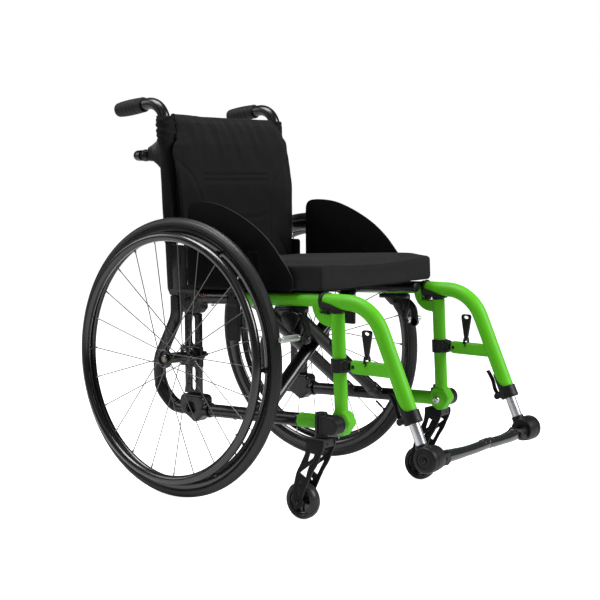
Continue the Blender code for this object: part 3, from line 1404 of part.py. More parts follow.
def build():
    for old in list(bpy.data.objects):
        bpy.data.objects.remove(old)
    bpy.context.scene.collection.children.link(parts)
    bpy.context.scene.collection.children.link(workshop)
    green = material("green_paint", (0.16, 0.72, 0.03), 0.32)
    black = material("black_anodised", (0.02, 0.02, 0.022), 0.42, 0.3)
    plastic = material("black_plastic", (0.025, 0.025, 0.027), 0.5)
    rubber = material("tyre_rubber", (0.03, 0.03, 0.032), 0.7)
    rim_black = material("rim_black", (0.03, 0.03, 0.032), 0.3, 0.5)
    steel = material("bright_steel", (0.6, 0.6, 0.6), 0.25, 1.0)
    silver = material("silver_tube", (0.75, 0.76, 0.78), 0.3, 1.0)
    shoe_grey = material("shoe_grey", (0.7, 0.7, 0.68), 0.5)
    fabric = material("black_fabric", (0.02, 0.02, 0.022), 0.9)
    cushion_fabric = material("cushion_cover", (0.03, 0.03, 0.032), 0.85)
    for side in (1, -1):
        side_frame(side, green)
        rear_frame(side, black)
        axle_bar(side, black)
        axle_receiver(side, black)
        rear_wheel(side, rubber, rim_black, black, steel)
        castor(side, plastic, black, plastic)
        hanger(side, green, plastic, silver)
        backrest_side(side, black, plastic)
        brake(side, black, shoe_grey)
        side_guard(side, plastic, plastic)
    brace("brace_single_arm", -1, (single_arm_along,), single_arm_flattening, black)
    twin = (single_arm_along - arm_spacing, single_arm_along + arm_spacing)
    brace("brace_twin_arm", 1, twin, 1.0, black)
    stabiliser_bar(black)
    seat(fabric, cushion_fabric)
    back_upholstery(fabric)


build()
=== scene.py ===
import json
from math import atan, atan2, copysign, cos, exp, hypot, pi, radians, sin, tan, tanh
import bpy
from mathutils import Matrix, Vector

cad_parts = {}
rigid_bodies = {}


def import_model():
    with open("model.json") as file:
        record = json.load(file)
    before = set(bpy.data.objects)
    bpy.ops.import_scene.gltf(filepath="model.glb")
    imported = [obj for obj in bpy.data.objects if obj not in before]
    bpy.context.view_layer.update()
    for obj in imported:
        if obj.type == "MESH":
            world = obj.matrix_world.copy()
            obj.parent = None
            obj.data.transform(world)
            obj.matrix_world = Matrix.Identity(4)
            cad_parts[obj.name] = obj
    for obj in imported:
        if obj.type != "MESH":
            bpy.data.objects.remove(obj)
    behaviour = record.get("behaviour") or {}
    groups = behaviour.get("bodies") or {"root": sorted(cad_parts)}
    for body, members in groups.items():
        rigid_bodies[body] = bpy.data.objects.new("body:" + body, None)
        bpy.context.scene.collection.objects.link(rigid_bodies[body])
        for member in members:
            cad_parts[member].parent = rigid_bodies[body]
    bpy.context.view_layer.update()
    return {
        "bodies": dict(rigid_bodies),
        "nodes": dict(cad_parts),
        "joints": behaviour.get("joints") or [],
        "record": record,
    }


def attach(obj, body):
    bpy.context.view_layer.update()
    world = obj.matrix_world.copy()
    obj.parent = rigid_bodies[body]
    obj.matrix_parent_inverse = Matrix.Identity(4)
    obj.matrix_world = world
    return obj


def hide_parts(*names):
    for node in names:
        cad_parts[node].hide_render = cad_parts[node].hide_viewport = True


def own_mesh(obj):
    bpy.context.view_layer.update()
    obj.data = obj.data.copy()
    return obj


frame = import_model()
print("frame loaded:", len(frame["nodes"]), "nodes")

# Main sizes in metres. "ahead" is in front of the rear axle, x is across, the user's left is positive.
chair = {"axleY": 0.1695, "sideX": 0.177, "tube": 0.0135, "slope": 0.045, "lowerTube": 0.178,
    "seatTube": 0.2416, "seatRail": 0.2434, "railX": 0.15, "axleHeight": 0.29578, "wheelX": 0.2354,
    "camber": radians(2.24), "postTopAhead": 0.391, "postTopHeight": 0.4125, "postLean": 0.05,
    "knuckleAhead": 0.40185, "knuckleHeight": 0.1955, "hangerHeight": 0.4345, "hangerEndAhead": 0.5588,
    "hangerEndHeight": 0.245, "hangerSlope": 0.45, "caneX": 0.181}
sideX, railX = chair["sideX"], chair["railX"]
seatRise, railRise = chair["seatTube"], chair["seatRail"]


# Places

def spot(x, ahead, height):
    return Vector((x, chair["axleY"] - ahead, height))


def onRake(x, ahead, rise):
    # along the raked lower tube, at a rise square to it
    lift = rise / cos(atan(chair["slope"]))
    return spot(x, ahead, chair["lowerTube"] + ahead * chair["slope"] + lift)


def rakePlace():
    # local Y runs rearwards along the raked tubes, local Z is square to them
    return Matrix.Translation(spot(0, 0, chair["lowerTube"])) @ Matrix.Rotation(-atan(chair["slope"]),
        4, "X")


def postAhead(height):
    return chair["postTopAhead"] + (chair["postTopHeight"] - height) * chair["postLean"]


def hangerAhead(height):
    return chair["hangerEndAhead"] - (height - chair["hangerEndHeight"]) * chair["hangerSlope"]


def wheelPlace():
    # local Z points outboard along the axle, local X points up in the plane of the rim
    up = Vector((-sin(chair["camber"]), 0, cos(chair["camber"])))
    out = Vector((cos(chair["camber"]), 0, sin(chair["camber"])))
    place = Matrix((up, Vector((0, -1, 0)), out)).transposed().to_4x4()
    place.translation = spot(chair["wheelX"], 0, chair["axleHeight"])
    return place


def asOutline(points):
    return [(chair["axleY"] - point.y, point.z) for point in points]


def facing(base, way, up="Y"):
    # a place whose local Z points along the given way
    return Matrix.Translation(base) @ way.to_track_quat("Z", up).to_matrix().to_4x4()


def acrossPlace(x, ahead, height):
    # local Z points outboard
    return Matrix.Translation(spot(x, ahead, height)) @ Matrix.Rotation(radians(90), 4, "Y")


def arc(ahead, height, radius, start, end, steps):
    turns = [radians(start + (end - start) * step / steps) for step in range(steps + 1)]
    return [(ahead + radius * cos(turn), height + radius * sin(turn)) for turn in turns]


def closedRound(ahead, height, half, tall, corner):
    # a rectangle with round corners, as (ahead, height)
    line = []
    for turn, (side, lift) in zip((0, 90, 180, 270), ((1, 1), (-1, 1), (-1, -1), (1, -1))):
        line += arc(ahead + side * (half - corner), height + lift * (tall - corner), corner, turn,
            turn + 90, 6)
    return line


def around(ahead, height, offsets):
    return [(ahead + forward, height + up) for forward, up in offsets]


def roundCorners(points, radius, steps=10):
    line = [points[0]]
    for before, corner, after in zip(points, points[1:], points[2:]):
        back = (before - corner).normalized()
        on = (after - corner).normalized()
        half = back.angle(on) / 2
        centre = corner + (back + on).normalized() * (radius / sin(half))
        first = corner + back * (radius / tan(half)) - centre
        last = corner + on * (radius / tan(half)) - centre
        line += [centre + first.slerp(last, step / steps).normalized() * radius
            for step in range(steps + 1)]
    return line + [points[-1]]


def smoothLine(points, steps=6):
    # a soft curve through a list of pairs or vectors
    points = [Vector(point) for point in points]
    line = []
    for index in range(len(points) - 1):
        before = points[max(index - 1, 0)]
        start, end = points[index], points[index + 1]
        after = points[min(index + 2, len(points) - 1)]
        for step in range(steps):
            t = step / steps
            line.append(0.5 * (2 * start + (end - before) * t +
                (2 * before - 5 * start + 4 * end - after) * t ** 2 +
                (3 * start - before - 3 * end + after) * t ** 3))
    return line + [points[-1]]


# Working in the mesh, as by hand

def pickNothing():
    if bpy.context.object and bpy.context.object.mode != "OBJECT":
        bpy.ops.object.mode_set(mode="OBJECT")
    bpy.ops.object.select_all(action="DESELECT")


def pick(*pieces):
    pickNothing()
    for piece in pieces:
        piece.select_set(True)
    bpy.context.view_layer.objects.active = pieces[0]
    return pieces[0]


def applyPlace(piece):
    pick(piece)
    bpy.ops.object.transform_apply(location=True, rotation=True, scale=True)
    return piece


def openEdit(piece):
    pick(piece)
    bpy.ops.object.mode_set(mode="EDIT")
    bpy.ops.mesh.select_mode(type="VERT")
    bpy.ops.mesh.select_all(action="SELECT")


def closeEdit():
    bpy.ops.object.mode_set(mode="OBJECT")


def cleanUp(piece):
    openEdit(piece)
    bpy.ops.mesh.remove_doubles(threshold=0.00001)
    bpy.ops.mesh.normals_make_consistent(inside=False)
    closeEdit()
    return piece


def modify(piece, kind, **settings):
    pick(piece)
    modifier = piece.modifiers.new(kind.lower(), kind)
    for name, value in settings.items():
        setattr(modifier, name, value)
    bpy.ops.object.modifier_apply(modifier=modifier.name)
    return piece


def roundEdges(piece, width, segments=2, angle=35):
    return modify(piece, "BEVEL", width=width, segments=segments, limit_method="ANGLE",
        angle_limit=radians(angle), harden_normals=False)


def combine(piece, operation, others):
    for other in others:
        modify(piece, "BOOLEAN", operation=operation, solver="MANIFOLD", object=other)
        bpy.data.objects.remove(other)
    return piece


def carve(piece, *cutters):
    return combine(piece, "DIFFERENCE", cutters)


def joinUp(*pieces):
    pick(*pieces)
    if len(pieces) > 1:
        bpy.ops.object.join()
    return bpy.context.object


def weldSkin(piece, voxel, passes=4):
    # one skin over the overlapping shapes, softened where they meet, as paint does over a weld
    modify(piece, "REMESH", mode="VOXEL", voxel_size=voxel, use_smooth_shade=True)
    return modify(piece, "SMOOTH", factor=0.5, iterations=passes)


def rod(start, end, radius, rim=0.0, sides=32):
    pickNothing()
    axis = end - start
    turn = axis.to_track_quat("Z", "Y").to_euler()
    bpy.ops.mesh.primitive_cylinder_add(vertices=sides, radius=radius, depth=axis.length,
        location=(start + end) / 2, rotation=turn)
    made = applyPlace(bpy.context.object)
    return roundEdges(made, rim, 3) if rim else made


def rodAcross(near, far, ahead, height, radius, rim=0.0, sides=32):
    return rod(spot(near, ahead, height), spot(far, ahead, height), radius, rim, sides)


def rodAlong(x, near, far, height, radius, rim=0.0, sides=32):
    return rod(spot(x, near, height), spot(x, far, height), radius, rim, sides)


def rodUp(x, ahead, low, high, radius, rim=0.0, sides=32):
    return rod(spot(x, ahead, low), spot(x, ahead, high), radius, rim, sides)


def rodOnRake(x, near, far, rise, radius, rim=0.0, sides=32):
    return rod(onRake(x, near, rise), onRake(x, far, rise), radius, rim, sides)


def rodOnAxle(near, far, radius, rim=0.0, sides=32):
    return rod(onWheel(0, 0, near), onWheel(0, 0, far), radius, rim, sides)


def block(low, high, rim=0.0, segments=2):
    pickNothing()
    low, high = Vector(low), Vector(high)
    size = high - low
    bpy.ops.mesh.primitive_cube_add(size=1, location=(low + high) / 2,
        scale=[abs(side) for side in size])
    made = applyPlace(bpy.context.object)
    return roundEdges(made, rim, segments) if rim else made


def box(low, high, rim=0.0, segments=2):
    # a block between two corners given as across, ahead and height
    return block(spot(*low), spot(*high), rim, segments)


def ball(centre, radius, stretch=(1, 1, 1)):
    pickNothing()
    bpy.ops.mesh.primitive_uv_sphere_add(segments=32, ring_count=20, radius=radius, location=centre,
        scale=stretch)
    return applyPlace(bpy.context.object)


def drawLine(points, closed=False):
    # one vertex pulled from point to point
    pickNothing()
    bpy.ops.mesh.primitive_plane_add(size=0.01)
    line = bpy.context.object
    openEdit(line)
    bpy.ops.mesh.merge(type="CENTER")
    bpy.ops.transform.translate(value=points[0])
    stops = list(points) + ([points[0]] if closed else [])
    for before, after in zip(stops, stops[1:]):
        bpy.ops.mesh.extrude_region_move(TRANSFORM_OT_translate={"value": after - before})
    bpy.ops.mesh.select_all(action="SELECT")
    bpy.ops.mesh.remove_doubles(threshold=0.000005)
    closeEdit()
    return line


def turned(profile, place, steps=64, closed=False):
    # pairs of radius and height, spun about the place's own Z
    line = drawLine([Vector((radius, 0, height)) for radius, height in profile], closed)
    openEdit(line)
    bpy.ops.mesh.spin(steps=steps, angle=2 * pi, center=(0, 0, 0), axis=(0, 0, 1), use_auto_merge=True)
    closeEdit()
    cleanUp(line)
    line.matrix_world = place
    return applyPlace(line)


def sidePlate(outline, near, far, rim=0.0, holes=(), segments=2):
    # an outline of (ahead, height) filled and pulled out sideways
    made = drawLine([spot(near, ahead, height) for ahead, height in outline], closed=True)
    openEdit(made)
    bpy.ops.mesh.edge_face_add()
    bpy.ops.mesh.extrude_region_move(TRANSFORM_OT_translate={"value": (far - near, 0, 0)})
    closeEdit()
    cleanUp(made)
    margin = 0.004 if far > near else -0.004
    for hole in holes:
        carve(made, sidePlate(hole, near - margin, far + margin))
    return roundEdges(made, rim, segments) if rim else made


def midPlate(outline, middle, half, rim=0.0, holes=(), segments=2):
    return sidePlate(outline, middle - half, middle + half, rim, holes, segments)


def bentTube(points, radius, bend=0.0, sides=32, sizes=None):
    pickNothing()
    line = roundCorners(points, bend) if bend else points
    bpy.ops.curve.primitive_bezier_curve_add()
    curve = bpy.context.object
    curve.data.splines.clear()
    spline = curve.data.splines.new("POLY")
    spline.points.add(len(line) - 1)
    for index, (point, place) in enumerate(zip(spline.points, line)):
        point.co = (*place, 1)
        point.radius = sizes[index] if sizes else 1.0
    curve.data.dimensions = "3D"
    curve.data.bevel_depth = radius
    curve.data.bevel_resolution = sides // 2 - 2
    curve.data.use_fill_caps = True
    curve.matrix_world = Matrix.Identity(4)
    bpy.ops.object.convert(target="MESH")
    return cleanUp(bpy.context.object)


def ringCopies(piece, count, place):
    ring = [piece]
    for index in range(1, count):
        pick(piece)
        bpy.ops.object.duplicate()
        copy = bpy.context.object
        copy.matrix_world = place @ Matrix.Rotation(2 * pi * index / count, 4, "Z") @ place.inverted()
        ring.append(applyPlace(copy))
    return joinUp(*ring)


def mirrored(piece):
    pick(piece)
    bpy.ops.object.duplicate()
    copy = bpy.context.object
    copy.scale.x = -1
    return cleanUp(applyPlace(copy))


def settle(piece, name, body, finish, nodes=(), angle=35):
    piece.name = name
    piece.data.name = name
    piece.data.materials.clear()
    piece.data.materials.append(finishes[finish])
    pick(piece)
    bpy.ops.object.shade_smooth_by_angle(angle=radians(angle))
    if nodes:
        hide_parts(*nodes)
    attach(piece, body)
    return piece


def bothSides(piece, name, body, finish, nodes=(), angle=35):
    # the left one is made, and the right one is its mirror image
    twin = mirrored(piece)
    for side, made in (("left", piece), ("right", twin)):
        settle(made, name + "_" + side, body.format(side), finish,
            [node.format(side) for node in nodes], angle)


# Finishes

class Wire:
    # a socket that takes part in sums like a number
    def __init__(self, finish, socket):
        self.finish = finish
        self.socket = socket

    def sum(self, operation, first, second=0.0):
        return self.finish.add("ShaderNodeMath", {"operation": operation}, {0: first, 1: second})

    def __pow__(self, other):
        return self.sum("POWER", self, other)

    def __gt__(self, other):
        return self.sum("GREATER_THAN", self, other)

    def __abs__(self):
        return self.sum("ABSOLUTE", self)

    def above(self, other):
        return self.sum("MAXIMUM", self, other)

    def below(self, other):
        return self.sum("MINIMUM", self, other)

    def wave(self, perMetre):
        return self.sum("SINE", self * (2 * pi * perMetre))


for name, operation in (("add", "ADD"), ("sub", "SUBTRACT"), ("mul", "MULTIPLY")):
    setattr(Wire, f"__{name}__", lambda self, other, kind=operation: self.sum(kind, self, other))
    setattr(Wire, f"__r{name}__", lambda self, other, kind=operation: self.sum(kind, other, self))


class Finish:
    # a material on the Principled shader, built up from object coordinates
    def __init__(self, name, constants):
        self.material = bpy.data.materials.new(name)
        self.material.use_nodes = True
        self.tree = self.material.node_tree
        self.shader = self.tree.nodes["Principled BSDF"]
        for socket, value in constants.items():
            self.shader.inputs[socket].default_value = value
        self.place = self.add("ShaderNodeTexCoord", out="Object")

    def add(self, kind, settings=None, values=None, out=0):
        node = self.tree.nodes.new(kind)
        for name, value in (settings or {}).items():
            if name == "stops":
                for index, (position, colour) in enumerate(value):
                    ramp = node.color_ramp.elements
                    stop = ramp[index] if index < len(ramp) else ramp.new(position)
                    stop.position, stop.color = position, colour
            else:
                setattr(node, name, value)
        for name, value in (values or {}).items():
            self.feed(node.inputs[name], value)
        return Wire(self, node.outputs[out])

    def feed(self, socket, value):
        if isinstance(value, Wire):
            self.tree.links.new(value.socket, socket)
        else:
            socket.default_value = value

    def noise(self, scale, detail=2.0, stretch=None, turn=(0, 0, 0)):
        place = self.place
        if stretch:
            place = self.add("ShaderNodeMapping", None, {"Vector": place, "Scale": stretch,
                "Rotation": turn})
        return self.add("ShaderNodeTexNoise", None, {"Vector": place, "Scale": scale, "Detail": detail},
            "Fac")

    def mix(self, share, first, second):
        return self.add("ShaderNodeMix", {"data_type": "RGBA", "clamp_factor": True},
            {0: share, 6: first, 7: second}, 2)

    def split(self, vector):
        node = self.tree.nodes.new("ShaderNodeSeparateXYZ")
        self.feed(node.inputs[0], vector)
        return [Wire(self, socket) for socket in node.outputs]

    def relief(self, height, distance, strength=1.0):
        normal = self.add("ShaderNodeBump", None, {"Height": height, "Distance": distance,
            "Strength": strength})
        self.feed(self.shader.inputs["Normal"], normal)

    def colour(self, wire):
        self.feed(self.shader.inputs["Base Color"], wire)

    def gloss(self, wire):
        self.feed(self.shader.inputs["Roughness"], wire)


def lighter(colour, factor):
    return tuple(min(channel * factor, 1.0) for channel in colour) + (1.0,)


def glossPaint(name, **look):
    # two-layer paint with a faint orange peel, a slow colour drift and a few fine rubbed marks
    made = Finish(name, {"Coat Weight": look["coat"], "Coat Roughness": look["coatRoughness"],
        "Metallic": look.get("metallic", 0.0), "Specular IOR Level": look.get("specular", 0.5)})
    drift = made.noise(14, 3)
    rubbed = (made.noise(60, 4, (1, 1, 12)) > 0.66) * (made.noise(9, 2) > 0.56)
    edge = made.add("ShaderNodeNewGeometry", out="Pointiness")
    worn = ((edge - 0.53) * look["wear"]).above(0.0).below(0.5)
    body = made.mix(drift, lighter(look["colour"], 0.9), lighter(look["colour"], 1.08))
    made.colour(made.mix(worn + rubbed * 0.08, body, lighter(look["colour"], 1.6)))
    made.gloss(look["roughness"] + (drift - 0.5) * 0.1 + rubbed * 0.1)
    made.relief(made.noise(look["peelScale"], 2) + made.noise(240, 1) * 0.5, look["peel"])
    return made.material


def mouldedPlastic(name, **look):
    # fine spark-eroded grain with polished high spots
    made = Finish(name, {"Specular IOR Level": look.get("specular", 0.5)})
    grain = made.add("ShaderNodeTexVoronoi", None, {"Vector": made.place, "Scale": look["grainScale"]},
        "Distance")
    cloud = made.noise(look["grainScale"] * 0.02, 4)
    tone = made.mix(cloud, lighter(look["colour"], 0.75), lighter(look["colour"], 1.35))
    if "edge" in look:
        # a painted highlight: where the surface does not face sideways, as along a sheet's edges, it
        # gets a much paler colour than on its faces
        sideways = abs(made.split(made.add("ShaderNodeNewGeometry", out="Normal"))[0])
        tone = made.mix(sideways ** 2.0, lighter(look["edge"], 1.0), tone)
    made.colour(tone)
    made.gloss(look["roughness"] + (cloud - 0.5) * 0.16 + (grain - 0.5) * 0.08)
    made.relief(grain + cloud * 0.6, look["grain"])
    return made.material


def drawnMetal(name, **look):
    # fine lines along one direction, as drawn or turned metal has
    made = Finish(name, {"Metallic": look["metallic"]})
    lines = made.noise(look["lineScale"], 3, look["stretch"], look.get("turn", (0, 0, 0)))
    cloud = made.noise(24, 3)
    made.colour(made.mix(lines, lighter(look["colour"], 0.82), lighter(look["colour"], 1.12)))
    made.gloss(look["roughness"] + (lines - 0.5) * 0.18 + (cloud - 0.5) * 0.1)
    made.relief(lines, look["depth"])
    return made.material


def wovenCloth(name, **look):
    # plain weave over three planes, chosen by the surface's own direction, with fuzz and a slow drift
    made = Finish(name, {"Sheen Weight": look["sheen"], "Sheen Roughness": 0.5,
        "Specular IOR Level": look.get("specular", 0.25)})
    x, y, z = made.split(made.place)
    facing = made.split(made.add("ShaderNodeNewGeometry", out="Normal"))
    shares = [abs(side) ** 4.0 for side in facing]
    threads = [axis.wave(look["threads"]) for axis in (x, y, z)]
    weave = (threads[1] * threads[2] * shares[0] + threads[0] * threads[2] * shares[1] + threads[0] *
        threads[1] * shares[2])
    fuzz = made.noise(look["fuzzScale"], 3)
    drift = made.noise(16, 4)
    melange = made.noise(420, 2)
    thread = made.mix(melange * 0.6 + weave * 0.2 + 0.2, lighter(look["colour"], 0.6),
        lighter(look["colour"], 1.7))
    made.colour(made.mix(drift, thread, lighter(look["colour"], 0.8)))
    made.gloss(look["roughness"] + (fuzz - 0.5) * 0.16)
    made.relief(weave * 0.5 + fuzz * 0.7 + made.noise(90, 3) * 2.0, look["depth"])
    return made.material


def softRubber(name, **look):
    # matt rubber with a dusty bloom and small scuffs
    made = Finish(name, {"Specular IOR Level": look.get("specular", 0.28)})
    bloom = made.noise(30, 5)
    scuff = made.noise(260, 2, (1, 1, 0.3)) > 0.63
    made.colour(made.mix(bloom, lighter(look["colour"], 0.8), lighter(look["colour"], 1.5)))
    made.gloss(look["roughness"] + (bloom - 0.5) * 0.2 + scuff * 0.06)
    made.relief(made.noise(look["grainScale"], 2) + scuff * 0.3, look["grain"])
    return made.material


finishes = {
    "green": glossPaint("greenGlossPaint", colour=(0.092, 0.46, 0.008), roughness=0.46, coat=0.08,
        coatRoughness=0.3, wear=2.0, specular=0.2, peelScale=620, peel=0.00002),
    "black": glossPaint("blackSatinPaint", colour=(0.005, 0.005, 0.0053), roughness=0.27, coat=0.2,
        coatRoughness=0.1, wear=3.0, specular=0.4, peelScale=1400, peel=0.00004),
    "anodised": drawnMetal("blackAnodisedTube", colour=(0.013, 0.013, 0.0145), roughness=0.24,
        metallic=0.55, lineScale=900, stretch=(1, 0.05, 0.05), depth=0.000015),
    "plastic": mouldedPlastic("blackMouldedPlastic", colour=(0.0052, 0.0052, 0.0055), roughness=0.44,
        grainScale=1500, grain=0.00003, specular=0.26),
    # the guard panel and the cut plate carry a painted highlight colour along their edges
    "panel": mouldedPlastic("blackGuardPanel", colour=(0.0046, 0.0046, 0.0049), roughness=0.5,
        grainScale=2200, grain=0.00002, specular=0.02, edge=(0.04, 0.04, 0.042)),
    "plate": mouldedPlastic("blackCutPlate", colour=(0.008, 0.008, 0.0084), roughness=0.46,
        grainScale=2000, grain=0.00002, specular=0.1, edge=(0.045, 0.045, 0.047)),
    "tyre": softRubber("tyreRubber", colour=(0.0066, 0.0066, 0.0069), roughness=0.42,
        grainScale=1600, grain=0.00003, specular=0.44),
    "castorTread": softRubber("castorTread", colour=(0.024, 0.024, 0.025), roughness=0.28,
        grainScale=1800, grain=0.00002),
    "grip": softRubber("gripRubber", colour=(0.0052, 0.0052, 0.0054), roughness=0.6, grainScale=1300,
        grain=0.00005),
    "steel": drawnMetal("brightSteel", colour=(0.56, 0.55, 0.53), roughness=0.24, metallic=1.0,
        lineScale=700, stretch=(0.1, 1, 1), depth=0.00001),
    "footBar": glossPaint("darkFootBarPaint", colour=(0.016, 0.017, 0.018), roughness=0.22, coat=0.6,
        coatRoughness=0.1, wear=3.0, peelScale=700, peel=0.00003, metallic=0.3),
    "spoke": drawnMetal("darkSpokeSteel", colour=(0.16, 0.16, 0.165), roughness=0.34, metallic=0.9,
        lineScale=900, stretch=(1, 0.2, 0.2), depth=0.00001),
    "brass": drawnMetal("axleButton", colour=(0.5, 0.36, 0.24), roughness=0.28, metallic=1.0,
        lineScale=1200, stretch=(0.1, 1, 1), depth=0.00001),
    "copper": drawnMetal("copperWire", colour=(0.42, 0.22, 0.13), roughness=0.34, metallic=1.0,
        lineScale=1200, stretch=(0.1, 1, 1), depth=0.00001),
    "silver": drawnMetal("silverAnodisedTube", colour=(0.62, 0.63, 0.65), roughness=0.36,
        metallic=1.0, lineScale=500, stretch=(1, 0.04, 0.04), turn=(radians(-24), 0, 0), depth=0.00002),
    "shoe": drawnMetal("knurledAluminium", colour=(0.62, 0.64, 0.62), roughness=0.42, metallic=0.85,
        lineScale=900, stretch=(0.2, 1, 1), depth=0.00004),
    "rim": glossPaint("blackRimPaint", colour=(0.006, 0.006, 0.0065), roughness=0.26, coat=0.7,
        coatRoughness=0.14, wear=2.5, specular=0.4, peelScale=900, peel=0.00002),
    "cloth": wovenCloth("blackBackCloth", colour=(0.006, 0.006, 0.0067), roughness=0.82, sheen=0.03,
        specular=0.12, threads=700, fuzzScale=1500, depth=0.00012),
    "cover": wovenCloth("blackCushionCover", colour=(0.0165, 0.0164, 0.0168), roughness=0.8,
        sheen=0.02, specular=0.05, threads=900, fuzzScale=1800, depth=0.0001),
    "web": wovenCloth("blackWebbing", colour=(0.01, 0.01, 0.011), roughness=0.8, sheen=0.08,
        threads=420, fuzzScale=1200, depth=0.00016)}
print("finishes made:", len(finishes))


# Front side frame

frontFrame = {"voxel": 0.0012, "gusset": 0.0078, "sleeve": 0.0148, "knuckle": 0.0235,
    "boreRoom": 0.00065, "hingeTube": 0.0125, "sleeveRear": 0.2975, "hingeDepth": 0.0135,
    "sweep": 0.0391}


def makeFrontFrame():
    own = frontFrame
    x, tube = sideX, chair["tube"]
    top, height = chair["postTopAhead"], chair["postTopHeight"] - 0.0025
    head = spot(x, top, chair["postTopHeight"])
    foot = spot(x, chair["knuckleAhead"], chair["knuckleHeight"])
    seatTube = rodOnRake(x, 0.1503, top - 0.034, seatRise, tube)
    inTube = onRake(x, top - 0.06, seatRise).z
    gusset = midPlate([(top - 0.059, inTube), (top - 0.0395, inTube), (top - 0.0395, height),
        (top, height), (top, height - 0.026)] + arc(top - 0.016, height + 0.019, 0.044, 270, 190, 16),
        x, own["gusset"], 0.003)
    post = rod(foot, head, tube)
    kneeAhead, kneeHeight = chair["knuckleAhead"], chair["knuckleHeight"]
    ballPart = ball(foot, own["knuckle"] - 0.001, (1, 0.95, 0.98))
    nose = sidePlate(around(kneeAhead, kneeHeight, [(-0.0135, 0.026), (0.013, 0.026), (0.0255, 0.009),
        (0.0255, 0.001), (0.009, -0.022), (-0.004, -0.0235), (-0.018, -0.014), (-0.0215, 0.008)]),
        x - 0.0155, x + 0.0112, 0.0045, segments=3)
    sleeve = rodOnRake(x, own["sleeveRear"], kneeAhead, 0, own["sleeve"])
    lip = rodOnRake(x, own["sleeveRear"] + 0.001, own["sleeveRear"] + 0.006, 0, own["sleeve"] + 0.0006)
    made = weldSkin(joinUp(seatTube, gusset, post, ballPart, nose, sleeve, lip), own["voxel"], 5)
    bore = rodOnRake(x, own["sleeveRear"] - 0.01, own["sleeveRear"] + own["hingeDepth"] + 0.0005, 0,
        own["hingeTube"] + own["boreRoom"])
    spigotBore = rodOnRake(x, 0.14, 0.1705, seatRise, 0.0112)
    flat = box((x + 0.0116, 0.3612, 0.12), (x + 0.06, 0.46, 0.3))
    sky = chair["postTopHeight"] + 0.09
    sweep = rod(head, spot(x, postAhead(sky), sky), own["sweep"], sides=96)
    pegBore = rod(head - (head - foot).normalized() * 0.016, head + (head - foot).normalized() * 0.02,
        0.0089)
    made = carve(made, bore, spigotBore, flat, sweep, pegBore)
    return joinUp(made, makeCradle(0.29))


def makeCradle(ahead):
    low = onRake(railX - 0.0052, ahead - 0.012, seatRise - 0.01)
    high = onRake(sideX - 0.008, ahead + 0.012, railRise - 0.001)
    hook = roundEdges(block(low, high), 0.0012)
    rail = rodOnRake(railX, ahead - 0.05, ahead + 0.05, railRise, 0.0109)
    return carve(hook, rail)


bothSides(makeFrontFrame(), "frontFrame", "{}_side", "green", ["side_frame_{}"], 40)

screwLook = {"headRadius": 0.0042, "headHeight": 0.0022, "socket": 0.0022}


def makeScrew(base, outward, size=1.0):
    # a button head with a hexagon socket
    head, tall, socket = (screwLook[key] * size for key in ("headRadius", "headHeight", "socket"))
    place = facing(base, outward)
    profile = [(0, -0.0006), (head, -0.0006), (head, tall * 0.25), (head * 0.86, tall * 0.72),
        (head * 0.55, tall), (0, tall)]
    made = turned(profile, place, 24)
    sink = rod(place @ Vector((0, 0, tall * 0.35)), place @ Vector((0, 0, tall * 2)), socket, sides=6)
    return carve(made, sink)


across = Vector((1, 0, 0))
frameScrews = joinUp(makeScrew(onRake(sideX, 0.1585, seatRise) + across * (chair["tube"] - 0.0003),
    across, 0.8), makeScrew(spot(sideX - 0.0219, chair["knuckleAhead"], chair["knuckleHeight"]),
    -across, 1.9))
bothSides(frameScrews, "frameScrews", "{}_side", "steel")
print("front frames done")


# Rear side frame

rearFrame = {"voxel": 0.0012, "curved": 0.0138, "casting": 0.0105, "clamp": 0.0165, "moon": 0.0277,
    "moonAhead": -0.001, "moonHeight": 0.417}


def curvedLine():
    x = sideX
    return roundCorners([spot(x, -0.052, 0.4205), spot(x, -0.052, 0.375), spot(x, -0.1085, 0.2775),
        spot(x, -0.1065, 0.215), onRake(x, -0.06, 0), onRake(x, -0.015, 0)], 0.058, 12)


